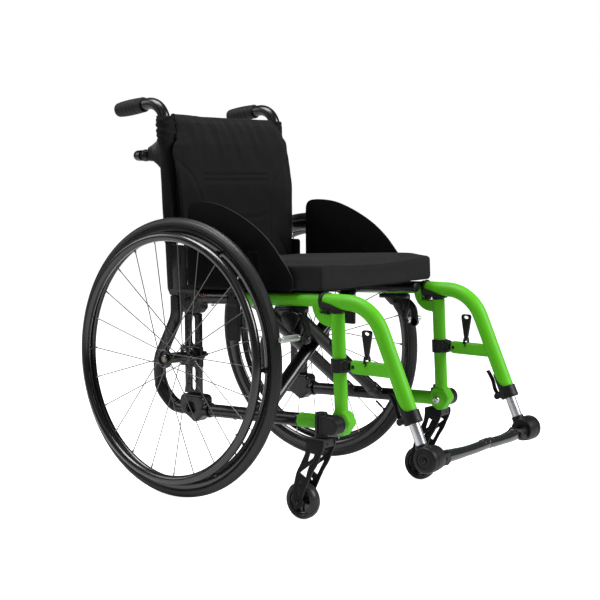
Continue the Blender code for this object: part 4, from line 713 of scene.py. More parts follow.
def makeRearFrame():
    own = rearFrame
    x = sideX
    seatTube = rodOnRake(x, 0, 0.15, seatRise, chair["tube"])
    spigot = rodOnRake(x, 0.14, 0.1695, seatRise, 0.0105)
    casting = midPlate([(0.034, 0.398), (0.034, 0.434), (-0.0345, 0.434), (-0.0345, 0.3868),
        (0.022, 0.3868), (0.026, 0.3905)], x, own["casting"], 0.0025)
    collar = rodOnRake(x, 0.016, 0.036, seatRise, 0.015)
    moon = sidePlate(arc(own["moonAhead"], own["moonHeight"], own["moon"], 180, 360, 40)
        + [(own["moonAhead"] + own["moon"], 0.4322), (own["moonAhead"] - own["moon"], 0.4322)],
        x - 0.002, x + own["casting"] + 0.005, 0.0018)
    curve = bentTube(curvedLine(), own["curved"])
    clamp = midPlate([(0.038, 0.172), (0.038, 0.204), (0.033, 0.2105), (0.026, 0.2114),
        (-0.018, 0.2114), (-0.0262, 0.2085), (-0.0305, 0.2), (-0.03, 0.1765), (-0.018, 0.168),
        (-0.004, 0.161), (0.01, 0.1525), (0.017, 0.1525), (0.028, 0.162)], x, own["clamp"], 0.004,
        segments=3)
    mouth = rodOnRake(x, 0.03, 0.048, 0, 0.0168)
    made = weldSkin(joinUp(seatTube, casting, collar, moon, curve, clamp, mouth), own["voxel"], 4)
    recess = rodAcross(x + own["clamp"] - 0.012, x + 0.03, 0.004, 0.183, 0.0122, sides=48)
    slim = turned([(0.0, 0.0), (0.013, 0.0), (0.015, 0.0032), (0.0, 0.0032)],
        acrossPlace(x + own["clamp"] - 0.003, 0.004, 0.183), 48)
    hinge = rodOnRake(x, 0.06, 0.048 - 0.0265, 0, frontFrame["hingeTube"] + frontFrame["boreRoom"])
    splitLine = box((x + 0.0158, 0.04, 0.201), (x + 0.03, -0.04, 0.202))
    moonDish = turned([(0.0, 0.0), (0.0075, 0.0), (0.0095, 0.0028), (0.0, 0.0028)],
        acrossPlace(x + own["casting"] + 0.0027, own["moonAhead"] - 0.002, own["moonHeight"] + 0.001),
        48)
    made = carve(made, recess, slim, hinge, splitLine, moonDish)
    return joinUp(made, spigot, makeCradle(0.1))


bothSides(makeRearFrame(), "rearFrame", "{}_side", "black", ["rear_frame_{}"], 40)

# The thicker sheath round the lower bend of the curved tube, with its stepped end.
sheathLine = curvedLine()[31:48]
sheath = bentTube(sheathLine, rearFrame["curved"] + 0.0011)
modify(sheath, "BEVEL", width=0.0006, segments=2, limit_method="ANGLE")
bothSides(sheath, "curvedSheath", "{}_side", "plastic")

# Bolt in the half moon, its lock spring, and the small bolts under the lower tube.
moonX = sideX + rearFrame["casting"] + 0.003
rearBolts = joinUp(makeScrew(spot(moonX, rearFrame["moonAhead"] - 0.002,
    rearFrame["moonHeight"] + 0.001), across, 1.25), makeScrew(spot(sideX + 0.004, 0.06, 0.4075),
    Vector((0, 0, -1)), 0.9), makeScrew(onRake(sideX, 0.119, -0.0126), Vector((0, 0, -1)), 1.1),
    makeScrew(onRake(sideX, 0.06, -0.0126), Vector((0, 0, -1)), 0.9))
bothSides(rearBolts, "rearBolts", "{}_side", "anodised")

springLook = {"turns": 4, "radius": 0.0042, "wire": 0.00062, "depth": 0.0022, "ahead": 0.039,
    "height": 0.4266, "pitch": 0.0049}


def makeSpring():
    # the outboard halves of its turns, standing out of the tube
    own = springLook
    turns = []
    for index in range(own["turns"]):
        ahead = own["ahead"] + own["pitch"] * (index - (own["turns"] - 1) / 2)
        points = [spot(sideX + chair["tube"] - 0.0016 + own["depth"] * cos(turn),
            ahead + 0.0006 * sin(turn), own["height"] + own["radius"] * sin(turn))
            for turn in [radians(90 * step / 9) for step in range(-9, 10)]]
        turns.append(bentTube(points, own["wire"], sides=10))
    return joinUp(*turns)


bothSides(makeSpring(), "lockSpring", "{}_side", "copper")
print("rear frames done")


# Axle bars and receiver

axleBar = {"low": 0.2112, "high": 0.3862, "front": 0.0227, "rear": -0.0262, "half": 0.003,
    "slot": 0.0132, "holeRadius": 0.0022, "pitch": 0.0125}
receiverHeight = chair["axleHeight"] - (chair["wheelX"] - sideX) * tan(chair["camber"])


def makeAxleBar():
    own = axleBar
    x, middle, half = sideX, (own["front"] + own["rear"]) / 2, own["slot"] / 2
    blockEdge = 0.024
    made = midPlate([(own["front"], own["low"]), (own["front"], own["high"]),
        (own["rear"], own["high"]), (own["rear"], own["low"])], x, own["half"], 0.0012)
    cutters = [rodAcross(x - 0.02, x + 0.02, 0, receiverHeight, 0.0136)]
    holes = []
    for low, high in ((own["low"] + 0.007, receiverHeight - blockEdge),
            (receiverHeight + blockEdge, own["high"] - 0.006)):
        slotShape = arc(middle, high - half, half, 0, 180, 12) + arc(middle, low + half, half, 180, 360,
            12)
        cutters.append(midPlate(slotShape, x, 0.02))
        for row in (own["rear"], own["front"]):
            ahead = (row + middle) / 2
            count = int((high - low - 0.006) / own["pitch"])
            first = (low + high - (count - 1) * own["pitch"]) / 2
            for index in range(count):
                height = first + index * own["pitch"]
                holes.append(rodAcross(x - 0.02, x + 0.02, ahead, height, own["holeRadius"], sides=16))
    # a shallow channel down each bar, with the holes in it
    for row in (own["rear"], own["front"]):
        ahead = (row + middle) / 2
        for face in (-1, 1):
            cutters.append(box((x + face * (own["half"] - 0.0007), ahead + 0.0042, own["low"] + 0.004),
                (x + face * 0.02, ahead - 0.0042, own["high"] - 0.004)))
    return carve(made, *cutters, joinUp(*holes))


bothSides(makeAxleBar(), "axleBar", "{}_side", "black", ["axle_bar_{}"])


def onWheel(up, forward, out):
    return wheelPlace() @ Vector((up, forward, out))


def onCircle(radius, turn, out):
    return onWheel(radius * cos(turn), radius * sin(turn), out)


def makeReceiver():
    face = sideX + axleBar["half"] + 0.0003
    centre = receiverHeight
    body = box((face, 0.0325, centre - 0.0225), (face + 0.0088, -0.0325, centre + 0.0225), 0.003, 3)
    collar = rodOnAxle(-0.044, -0.052, 0.015)
    sleeve = rodOnAxle(-0.0363, -0.08, 0.0125)
    neck = turned([(0.0, -0.048), (0.0215, -0.048), (0.019, -0.045), (0.015, -0.0415), (0.0, -0.0415)],
        wheelPlace(), 48)
    made = weldSkin(joinUp(body, collar, sleeve, neck), 0.0009, 3)
    nut = rodAcross(sideX - 0.0048, sideX - 0.0105, 0, centre, 0.018, 0.0008, 6)
    bolt = rodAlong(face + 0.004, 0.028, 0.0465, centre + 0.008, 0.0033, 0.0004, 6)
    eye = rodAcross(face + 0.001, face + 0.007, 0.0375, centre + 0.008, 0.0062, 0.0008)
    bore = rodOnAxle(0, -0.09, 0.0064)
    return joinUp(carve(made, bore), carve(nut, rodOnAxle(0, -0.09, 0.0064)), bolt, eye)


bothSides(makeReceiver(), "axleReceiver", "{}_side", "black", ["axle_receiver_{}"])
receiverScrews = joinUp(*[makeScrew(spot(sideX + axleBar["half"] + 0.009, ahead, receiverHeight + lift),
    across, 0.9) for ahead in (-0.026, 0.026) for lift in (-0.016, 0.016)])
bothSides(receiverScrews, "receiverScrews", "{}_side", "anodised")
lockRings = joinUp(rodOnAxle(-0.0375, -0.0388, 0.0129), rodOnAxle(-0.0402, -0.041, 0.0129))
carve(lockRings, rodOnAxle(0, -0.09, 0.0124))
bothSides(lockRings, "receiverRings", "{}_side", "steel")
print("axle bars and receivers done")


# Rear wheels

wheelLook = {"spokes": 24, "spokeRadius": 0.00105, "lead": 42, "handrimCentre": 0.2557,
    "handrimTube": 0.0095, "handrimOffset": 0.0265, "posts": 6, "postCircle": 0.262}


def mirrorProfile(half):
    # the given half runs from one side to the middle; the other side is its mirror image
    return half + [(radius, -height) for radius, height in reversed(half) if height != 0]


def makeTyre():
    outside = [(0.27455, 0.008), (0.2772, 0.0086), (0.279, 0.0101), (0.2806, 0.0117), (0.2822, 0.01235),
        (0.2838, 0.0125), (0.2856, 0.01225), (0.2866, 0.0119), (0.2869, 0.0115), (0.2876, 0.0113),
        (0.2894, 0.0104), (0.2912, 0.009), (0.2919, 0.0083), (0.29205, 0.00775), (0.2929, 0.0074),
        (0.2943, 0.0054), (0.2951, 0.0037), (0.29545, 0.0033), (0.29515, 0.0029), (0.2957, 0.0023),
        (0.296, 0.0)]
    return turned(mirrorProfile(outside), wheelPlace(), 192, closed=True)


bothSides(makeTyre(), "rearTyre", "wheel_{}", "tyre", ["rear_tyre_{}"], 28)


def makeRim():
    outside = [(0.2738, 0.0), (0.2738, 0.005), (0.2744, 0.0076), (0.2766, 0.008), (0.2768, 0.0088),
        (0.2765, 0.0096), (0.2735, 0.00975), (0.269, 0.0094), (0.264, 0.0082), (0.26, 0.0062),
        (0.2572, 0.004), (0.256, 0.002), (0.2557, 0.0)]
    return turned(mirrorProfile(outside), wheelPlace(), 192, closed=True)


rim = makeRim()


def makeHub():
    profile = [(0.0092, 0.0285), (0.0094, 0.0262), (0.015, 0.0262), (0.0172, 0.0305), (0.0188, 0.0315),
        (0.0202, 0.031), (0.0205, 0.0298), (0.0203, 0.0272), (0.019, 0.0262), (0.015, 0.0242),
        (0.0124, 0.0212), (0.0115, 0.017), (0.0113, -0.02), (0.0117, -0.025), (0.015, -0.0282),
        (0.0171, -0.0292), (0.0175, -0.0302), (0.0174, -0.0326), (0.016, -0.0336), (0.0125, -0.035),
        (0.0118, -0.036), (0.0063, -0.036), (0.0063, 0.0285)]
    return turned(profile, wheelPlace(), 64, closed=True)


bothSides(makeHub(), "wheelHub", "wheel_{}", "rim", angle=30)


def spokeEnds(flange, lead, atRim):
    own = wheelLook
    root, offset = (0.0175, 0.0287 - 0.0012 * lead) if flange else (0.0146, 0.0012 * lead - 0.031)
    atHub = atRim + lead * radians(own["lead"])
    start = onCircle(root, atHub, offset)
    end = onCircle(0.258, atRim, 0.001 * lead)
    return start, end


def makeSpokes():
    own = wheelLook
    bars, nipples, heads = [], [], []
    for flange in range(2):
        for lead in (-1, 1):
            atRim = radians(360 / own["spokes"] * (2 * flange + (lead + 1) / 2))
            start, end = spokeEnds(flange, lead, atRim)
            inward = (start - end).normalized()
            bars.append(rod(start, end, own["spokeRadius"], sides=8))
            nipples.append(rod(end + inward * 0.0008, end + inward * 0.012, 0.0016, 0.0004, sides=12))
            heads.append(ball(start, 0.0016))
    groups = [ringCopies(joinUp(*part), own["spokes"] // 4, wheelPlace())
        for part in (bars + heads, nipples)]
    return groups


spokeBars, spokeNipples = makeSpokes()
bothSides(spokeBars, "spokes", "wheel_{}", "spoke")
bothSides(spokeNipples, "spokeNipples", "wheel_{}", "steel")


def makeValve():
    # the valve stands out of the rim towards the hub
    turn = radians(128)
    near, far = [onCircle(radius, turn, 0) for radius in (0.257, 0.2275)]
    middle = near.lerp(far, 0.35)
    stem = rod(near, far, 0.0019, 0.0003, 20)
    cap = rod(middle, far, 0.0026, 0.0007, 20)
    foot = rod(near, near.lerp(far, 0.1), 0.0038, 0.0007, 24)
    return joinUp(stem, cap, foot)


bothSides(makeValve(), "wheelValve", "wheel_{}", "plastic")
bothSides(rim, "wheelRim", "wheel_{}", "rim", ["spoked_wheel_{}"], angle=30)


def makeHandrim():
    own = wheelLook
    profile = [(own["handrimCentre"] + own["handrimTube"] * cos(radians(turn)),
        own["handrimOffset"] + own["handrimTube"] * sin(radians(turn))) for turn in range(0, 360, 15)]
    ring = turned(profile, wheelPlace(), 192, closed=True)
    turn = radians(30)
    circle = own["postCircle"]
    post = rod(onCircle(circle, turn, 0.0088), onCircle(circle, turn, 0.024), 0.0042)
    foot = rod(onCircle(circle, turn, 0.0084), onCircle(circle, turn, 0.0112), 0.0062, 0.0008)
    return joinUp(ring, ringCopies(joinUp(post, foot), own["posts"], wheelPlace()))


bothSides(makeHandrim(), "handrim", "wheel_{}", "rim", ["handrim_{}"], angle=30)


def makeRimTabs():
    # bright tabs on the rim's inside face, beside the handrim posts
    turn = radians(30)
    outward = (wheelPlace().to_3x3() @ Vector((-cos(turn), -sin(turn), 0))).normalized()
    base = onCircle(0.2566, turn, 0.0)
    tab = rod(base, base + outward * 0.006, 0.0024, 0.0006, 20)
    return ringCopies(tab, wheelLook["posts"], wheelPlace())


bothSides(makeRimTabs(), "rimTabs", "wheel_{}", "copper")


def makeAxlePin():
    seat = 0.0288
    button = [(0.0, seat + 0.0046), (0.0034, seat + 0.0046), (0.0042, seat + 0.004),
        (0.0044, seat + 0.0006), (0.006, seat + 0.0006), (0.006, -0.079), (0.0052, -0.0797),
        (0.0, -0.0797)]
    return turned(button, wheelPlace(), 48)


def makeAxleCollar():
    seat = 0.0288
    ring = [(0.0046, seat + 0.0007), (0.0046, seat + 0.0034), (0.0056, seat + 0.0042),
        (0.0076, seat + 0.004), (0.0084, seat + 0.003), (0.0085, seat), (0.0062, seat)]
    return turned(ring, wheelPlace(), 48, closed=True)


bothSides(makeAxlePin(), "quickReleaseAxle", "axle_{}", "brass",
    ["quick_release_axle_{}"])
bothSides(makeAxleCollar(), "axleCollar", "axle_{}", "spoke")
print("rear wheels done")


# Castors

castorLook = {"x": 0.206, "stem": 0.374, "axle": (0.327, 0.0375), "radius": 0.0375, "half": 0.012,
    "inner": 0.0162, "plate": 0.003, "foot": 0.0135, "spokes": 5, "armRadius": 0.0182,
    "armWide": 0.0275, "border": 0.0034, "top": 0.22}


def makeHousing():
    own = castorLook
    x, height = sideX, chair["knuckleHeight"] + 0.001
    near = x + 0.0118
    armRadius = own["armRadius"]
    face = near + own["armWide"]
    arm = sidePlate(arc(chair["knuckleAhead"] - 0.001, height, armRadius, -90, 90, 32)
        + [(own["stem"] - 0.01, height + armRadius), (own["stem"] - 0.01, height - armRadius)], near,
        face, 0.0024, segments=3)
    boss = rodUp(own["x"], own["stem"], 0.1702, own["top"], 0.0121, 0.0012, 64)
    foot = rodUp(own["x"], own["stem"], 0.1702, 0.176, 0.0124, 0.0006, 64)
    made = weldSkin(joinUp(arm, boss, foot), 0.0009, 3)
    # the raised border on the arm's outboard face
    border = own["border"]
    inner = sidePlate(arc(chair["knuckleAhead"] - 0.001, height, armRadius - border, -90, 90, 32)
        + [(own["stem"] + 0.006, height + armRadius - border),
        (own["stem"] + 0.006, height - armRadius + border)], face - 0.0011, face + 0.004)
    stem = rodUp(own["x"], own["stem"], 0.15, 0.2106, 0.0066)
    under = box((near - 0.03, 0.45, 0.15), (face + 0.03, 0.33, 0.1701))
    flush = box((face - 0.0004, own["stem"] - 0.001, height - armRadius),
        (face + 0.02, own["stem"] + 0.03, height + armRadius + 0.001))
    return carve(made, flush, inner, stem, under)


bothSides(makeHousing(), "castorHousing", "{}_side", "plastic", ["castor_housing_{}"], 40)
washer = turned([(0.01, 0.0), (0.0198, 0.0), (0.0198, 0.0006), (0.01, 0.0006)],
    acrossPlace(sideX + 0.01155, chair["knuckleAhead"] - 0.001, chair["knuckleHeight"] + 0.001), 64,
    closed=True)
bothSides(washer, "housingWasher", "{}_side", "silver")

forkFront = [(0.393, 0.1692), (0.3942, 0.167), (0.3945, 0.159), (0.391, 0.148), (0.385, 0.1355),
    (0.377, 0.1185), (0.3665, 0.1025), (0.3575, 0.086), (0.3492, 0.069), (0.343, 0.056),
    (0.3388, 0.042)]
forkRear = [(0.3134, 0.0395), (0.3158, 0.056), (0.3205, 0.078), (0.3262, 0.0975), (0.3358, 0.115),
    (0.343, 0.129), (0.348, 0.139), (0.3506, 0.154), (0.3506, 0.1692)]
forkWindows = [[(0.3615, 0.1462), (0.3782, 0.1398), (0.353, 0.1204)],
    [(0.369, 0.1238), (0.3335, 0.0972), (0.3492, 0.089)]]
forkHoles = [(0.335, 0.0782, 0.0028), (0.3315, 0.065, 0.0029), (0.3283, 0.0525, 0.0019)]


def softTriangle(corners, radius=0.0011):
    points = [Vector((ahead, height, 0)) for ahead, height in corners]
    closed = [points[-1].lerp(points[0], 0.5)] + points + [points[-1].lerp(points[0], 0.5)]
    return [(point.x, point.y) for point in roundCorners(closed, radius, 6)[:-1]]


def makeForkPlate(near, far):
    own = castorLook
    foot = arc(*own["axle"], own["foot"], 18, -188, 24)
    outline = [tuple(point) for point in smoothLine(forkFront, 4)] + foot + [tuple(point)
        for point in smoothLine(forkRear, 4)]
    holes = [softTriangle(window) for window in forkWindows]
    holes += [arc(ahead, height, radius, 0, 345, 23) for ahead, height, radius in forkHoles]
    made = sidePlate(outline, near, far)
    cutters = [sidePlate(hole, min(near, far) - 0.004, max(near, far) + 0.004) for hole in holes]
    carve(made, joinUp(*cutters))
    return roundEdges(made, 0.0006, 2, 40)


def makeFork():
    own = castorLook
    x, reach = own["x"], own["inner"] + own["plate"]
    crown = box((x - own["inner"] - 0.001, 0.3925, 0.153), (x + own["inner"] + 0.001, 0.3515, 0.1694),
        0.0015, 2)
    shelf = turned([(0.0, 0.0), (0.015, 0.0), (0.015, 0.0012), (0.0, 0.0012)],
        Matrix.Translation(spot(x, own["stem"], 0.1686)), 48)
    plates = [makeForkPlate(x + side * own["inner"], x + side * reach) for side in (-1, 1)]
    stem = rodUp(x, own["stem"], 0.155, 0.2098, 0.006)
    axle = rodAcross(x - reach - 0.0015, x + reach + 0.0015, *own["axle"], 0.004)
    bosses = [rodAcross(x + side * (reach - 0.0005), x + side * (reach + 0.0012), *own["axle"], 0.0085,
        0.0004, 48) for side in (-1, 1)]
    return joinUp(crown, shelf, *plates, stem, axle, *bosses)


bothSides(makeFork(), "castorFork", "castor_fork_{}", "plate", ["castor_fork_{}"], 30)
reach = castorLook["inner"] + castorLook["plate"]
forkScrews = joinUp(*[makeScrew(spot(castorLook["x"] + side * (reach + 0.0014), *castorLook["axle"]),
    across * side, 1.35) for side in (-1, 1)], makeScrew(spot(castorLook["x"] + 0.005, 0.3926, 0.16),
    Vector((0, -1, 0)), 0.6))
bothSides(forkScrews, "forkScrews", "castor_fork_{}", "anodised")


def makeCastorTread():
    outside = [(0.0262, 0.0066), (0.027, 0.0098), (0.0296, 0.0117), (0.0322, 0.012), (0.0347, 0.0108),
        (0.0365, 0.0078), (0.0373, 0.004), (0.0375, 0.0)]
    return turned(mirrorProfile(outside), acrossPlace(castorLook["x"], *castorLook["axle"]), 96,
        closed=True)


def makeCastorCore():
    own = castorLook
    place = acrossPlace(own["x"], *own["axle"])
    ring = turned([(0.0263, 0.0072), (0.024, 0.0078), (0.0226, 0.007), (0.0226, -0.007),
        (0.024, -0.0078), (0.0263, -0.0072)], place, 72, closed=True)
    hub = turned([(0.0044, 0.0118), (0.0078, 0.0118), (0.0092, 0.0104), (0.0096, 0.007),
        (0.0096, -0.007), (0.0092, -0.0104), (0.0078, -0.0118), (0.0044, -0.0118)], place, 48,
        closed=True)
    arm = block(Vector((0.0085, -0.0026, -0.0052)), Vector((0.024, 0.0026, 0.0052)), 0.0012)
    arm.matrix_world = place
    arm = ringCopies(applyPlace(arm), own["spokes"], place)
    web = turned([(0.009, 0.0012), (0.023, 0.0012), (0.023, -0.0012), (0.009, -0.0012)], place, 48,
        closed=True)
    return joinUp(ring, hub, arm, web)


bothSides(makeCastorTread(), "castorTread", "castor_wheel_{}", "castorTread",
    ["castor_wheel_{}"], 30)
bothSides(makeCastorCore(), "castorCore", "castor_wheel_{}", "rim", angle=30)
print("castors done")


# Swing-away hangers

hangerLook = {"tube": 0.0155, "rear": 0.3625, "reach": 0.007, "corner": 0.473525, "bend": 0.089,
    "voxel": 0.0012, "bar": 0.311, "barHalf": 0.0134, "barThick": 0.007, "barCorner": 0.0065,
    "boltHole": 0.003}
barHeight = hangerLook["bar"]
downHanger = Vector((0, -chair["hangerSlope"], -1)).normalized()
backOfHanger = Vector((0, 1, -chair["hangerSlope"])).normalized()
hangerEnd = spot(sideX, chair["hangerEndAhead"], chair["hangerEndHeight"])


def byHanger(down, back=0.0, base=hangerEnd):
    # a point so far down the hanger and so far behind it
    return base + downHanger * down + backOfHanger * back


clampPivot = byHanger(0.0186, 0.025)


def makeHanger():
    own = hangerLook
    x = sideX
    path = [spot(x, own["rear"], chair["hangerHeight"]), spot(x, own["corner"], chair["hangerHeight"]),
        byHanger(own["reach"])]
    bend = bentTube(path, own["tube"], own["bend"])
    rear = postAhead(barHeight) + 0.0285 + 0.0008
    half = own["barHalf"]
    corner = own["barCorner"]
    bar = midPlate(arc(rear + corner, barHeight + half - corner, corner, 90, 180, 8)
        + arc(rear + corner, barHeight - half + corner, corner, 180, 270, 8)
        + [(hangerAhead(barHeight), barHeight - half), (hangerAhead(barHeight), barHeight + half)], x,
        own["barThick"], 0.0055, segments=5)
    made = weldSkin(joinUp(bend, bar), own["voxel"], 5)
    bore = rod(byHanger(0.02), byHanger(-0.125), 0.0109)
    hole = rodAcross(x - 0.02, x + 0.02, rear + 0.0075, barHeight, own["boltHole"])
    sink = [rodAcross(x + face * 0.0055, x + face * 0.02, rear + 0.0075, barHeight, 0.0044)
        for face in (-1, 1)]
    made = carve(made, bore, hole, joinUp(*sink))
    pin = rodAcross(x - 0.0105, x + 0.0105, 0.462, barHeight + half - 0.006, 0.0019)
    return joinUp(made, pin)


bothSides(makeHanger(), "hangerTube", "hanger_{}", "green", ["hanger_{}"], 40)
barRear = postAhead(barHeight) + 0.0293 + 0.0075
hangerBolts = joinUp(*[makeScrew(spot(sideX + face * 0.005, barRear, barHeight), across * face, 0.9)
    for face in (-1, 1)])
bothSides(hangerBolts, "hangerBolts", "hanger_{}", "anodised")


def makeSaddle():
    x, height = sideX, chair["hangerHeight"]
    outer = 0.0185
    trough = rodAlong(x, 0.3585, 0.412, height, outer, 0.001, 64)
    above = midPlate([(0.35, 0.456), (0.3618, 0.456), (0.3624, 0.4352), (0.372, 0.433), (0.38, 0.4308),
        (0.388, 0.428), (0.396, 0.4248), (0.404, 0.421), (0.412, 0.4166), (0.42, 0.41), (0.425, 0.47),
        (0.35, 0.47)], x, 0.03)
    carve(trough, above)
    collar = rodAlong(x, 0.3465, 0.3622, height, 0.0163, 0.0008, 64)
    lip = rodAlong(x, 0.356, 0.3622, height, 0.0176, 0.001, 64)
    lug = box((x - 0.0065, 0.37, 0.4105), (x + 0.0065, 0.3575, 0.423), 0.0022, 3)
    foot = spot(x, chair["postTopAhead"], chair["postTopHeight"])
    upPost = (foot - spot(x, chair["knuckleAhead"], chair["knuckleHeight"])).normalized()
    stool = rod(foot + upPost * 0.0004, foot + upPost * 0.012, 0.0138, 0.0008, 64)
    body = joinUp(trough, collar, lip, lug, stool)
    modify(body, "REMESH", mode="VOXEL", voxel_size=0.0007)
    modify(body, "SMOOTH", factor=0.5, iterations=2)
    room = rodAlong(x, 0.3622, 0.44, height, 0.0158, sides=64)
    tubeRoom = rodOnRake(x, 0.3, 0.3445, seatRise, 0.0142)
    sweepOut = rod(foot - upPost * 0.02, foot + upPost * 0.06, 0.0384, sides=96)
    body = combine(body, "INTERSECT", [sweepOut])
    body = carve(body, room, tubeRoom)
    peg = rod(foot - upPost * 0.015, foot + upPost * 0.004, 0.008)
    return joinUp(body, peg)


bothSides(makeSaddle(), "hangerSaddle", "hanger_{}", "plastic", ["hanger_saddle_{}"], 40)


def makeLatch():
    x, low, high = sideX, barHeight - 0.0138, barHeight + 0.0138
    sleeve = rod(spot(x, postAhead(low), low), spot(x, postAhead(high), high), 0.0174, 0.0016, 64)
    axis = postAhead(barHeight)
    nose = midPlate([(axis + 0.004, low + 0.0012), (axis + 0.0235, low + 0.0012),
        (axis + 0.0275, low + 0.006), (axis + 0.028, high - 0.008), (axis + 0.0255, high - 0.0022),
        (axis + 0.019, high), (axis + 0.004, high)], x, 0.0105, 0.003, segments=3)
    ridge = midPlate([(axis + 0.002, low + 0.003), (axis + 0.015, low + 0.003),
        (axis + 0.018, high - 0.005), (axis + 0.004, high - 0.002)], x, 0.014, 0.002)
    made = weldSkin(joinUp(sleeve, nose, ridge), 0.0007, 3)
    room = rod(spot(x, postAhead(low - 0.02), low - 0.02), spot(x, postAhead(high + 0.02), high + 0.02),
        0.0138, sides=64)
    split = box((x - 0.03, axis + 0.0135, low + 0.0086), (x + 0.03, axis + 0.04, low + 0.0094))
    front = rodUp(x, axis, low - 0.02, high + 0.02, 0.0284, sides=96)
    made = combine(made, "INTERSECT", [front])
    return carve(made, room, split)


bothSides(makeLatch(), "hangerLatch", "{}_side", "plastic", ["hanger_latch_{}"], 40)


def makeReleaseLever():
    x, middle, pivot = sideX, 0.462, barHeight + 0.007
    foot, head, top = 0.0024, 0.011, barHeight + 0.073
    outline = [(middle - foot, pivot + 0.006), (middle - head, top - 0.009),
        (middle - head - 0.0002, top - 0.0045), (middle - head + 0.0012, top - 0.0012),
        (middle - head + 0.004, top), (middle + head - 0.004, top),
        (middle + head - 0.0012, top - 0.0012), (middle + head + 0.0002, top - 0.0045),
        (middle + head, top - 0.009), (middle + foot, pivot + 0.006)] + arc(middle, pivot, foot, 0,
        -180, 12)[1:-1]
    hole = [(middle + 0.0064 * cos(turn), top - 0.0066 + 0.0034 * sin(turn))
        for turn in [2 * pi * step / 32 for step in range(32)]]
    paddle = midPlate(outline, x, 0.003, 0.0, [hole])
    roundEdges(paddle, 0.001, 3, 40)
    carve(paddle, box((x - 0.02, middle - 0.02, pivot - 0.02), (x + 0.02, middle + 0.02, pivot + 0.01)))
    half = 0.0094
    cheeks = midPlate(arc(middle, pivot, foot + 0.0006, 180, 360, 16)
        + [(middle + foot, pivot + 0.012), (middle + foot - 0.001, pivot + 0.016),
        (middle - foot + 0.001, pivot + 0.016), (middle - foot, pivot + 0.012)], x, half, 0.0008)
    straddle = box((x - 0.0073, middle - 0.03, pivot - 0.02),
        (x + 0.0073, middle + 0.03, barHeight + 0.0163))
    pinHole = rodAcross(x - 0.02, x + 0.02, middle, pivot, 0.0022)
    return joinUp(paddle, carve(cheeks, straddle, pinHole))


bothSides(makeReleaseLever(), "releaseLever", "release_{}", "plastic", ["release_lever_{}"])


def makeClamp():
    place = facing(hangerEnd, downHanger, "X")
    ring = turned([(0.0, -0.028), (0.0168, -0.028), (0.0176, -0.027), (0.0179, 0.0), (0.018, 0.02),
        (0.0184, 0.0255), (0.0184, 0.0285), (0.0172, 0.03), (0.0, 0.03)], place, 72)
    # the top edge runs up at the back and down at the front
    cutLow = byHanger(0.0058, -0.022)
    cutHigh = byHanger(-0.03, 0.022)
    corners = [cutLow, byHanger(0.0056, -0.008), byHanger(0.0025), byHanger(-0.005, 0.006),
        byHanger(-0.0175, 0.0115), byHanger(-0.027, 0.015), cutHigh, cutHigh - downHanger * 0.03,
        cutLow - downHanger * 0.06]
    wedge = midPlate(asOutline(corners), sideX, 0.03)
    carve(ring, wedge)
    pivot = clampPivot
    ears = rod(pivot - across * 0.01, pivot + across * 0.01, 0.0068, 0.0008)
    bridge = rod(pivot, byHanger(0.015), 0.0088)
    made = weldSkin(joinUp(ring, ears, bridge), 0.0008, 3)
    slot = midPlate(asOutline((byHanger(-0.02, -0.0065, pivot), byHanger(-0.02, 0.02, pivot),
        byHanger(0.02, 0.02, pivot), byHanger(0.02, -0.0065, pivot))), sideX, 0.0063)
    bore = rod(byHanger(-0.04), byHanger(0.06), 0.0108)
    tubeEnd = rod(byHanger(-0.04), byHanger(hangerLook["reach"]), 0.0156, sides=64)
    split = midPlate(asOutline((byHanger(-0.02, 0.03), byHanger(0.04, 0.03), byHanger(0.04, 0.006),
        byHanger(-0.02, 0.006))), sideX, 0.0007)
    return carve(made, slot, bore, tubeEnd, split)


bothSides(makeClamp(), "footClamp", "hanger_{}", "plastic", ["foot_clamp_{}"], 40)


def makeClampLever():
    pivot = clampPivot
    line = smoothLine([pivot, byHanger(-0.016, 0.003, pivot), byHanger(-0.036, 0.0008, pivot),
        byHanger(-0.058, 0.0042, pivot)], 6)
    lift = 0.0017
    outline = [point + backOfHanger * lift for point in line] + [point - backOfHanger * lift
        for point in reversed(line)]
    strap = midPlate(asOutline(outline), sideX, 0.0058, 0.001)
    cam = rod(pivot - across * 0.0058, pivot + across * 0.0058, 0.0056, 0.0006)
    return joinUp(cam, strap)


bothSides(makeClampLever(), "clampLever", "clamp_lever_{}", "plastic", ["clamp_lever_{}"])
print("hangers done")


# Footrest

footLook = {"ahead": 0.608, "height": 0.157, "radius": 0.0252, "bar": 0.152, "hinge": 0.142,
    "seam": 0.02}


def footTubePath(extra=0.0):
    drop = (chair["hangerEndHeight"] - footLook["height"] - 0.004) / -downHanger.z
    return byHanger(-0.075), byHanger(drop + extra)


bothSides(rod(*footTubePath(), 0.0105, 0.0006, 48), "footTube", "foot_{}", "silver",
    ["foot_tube_{}"])


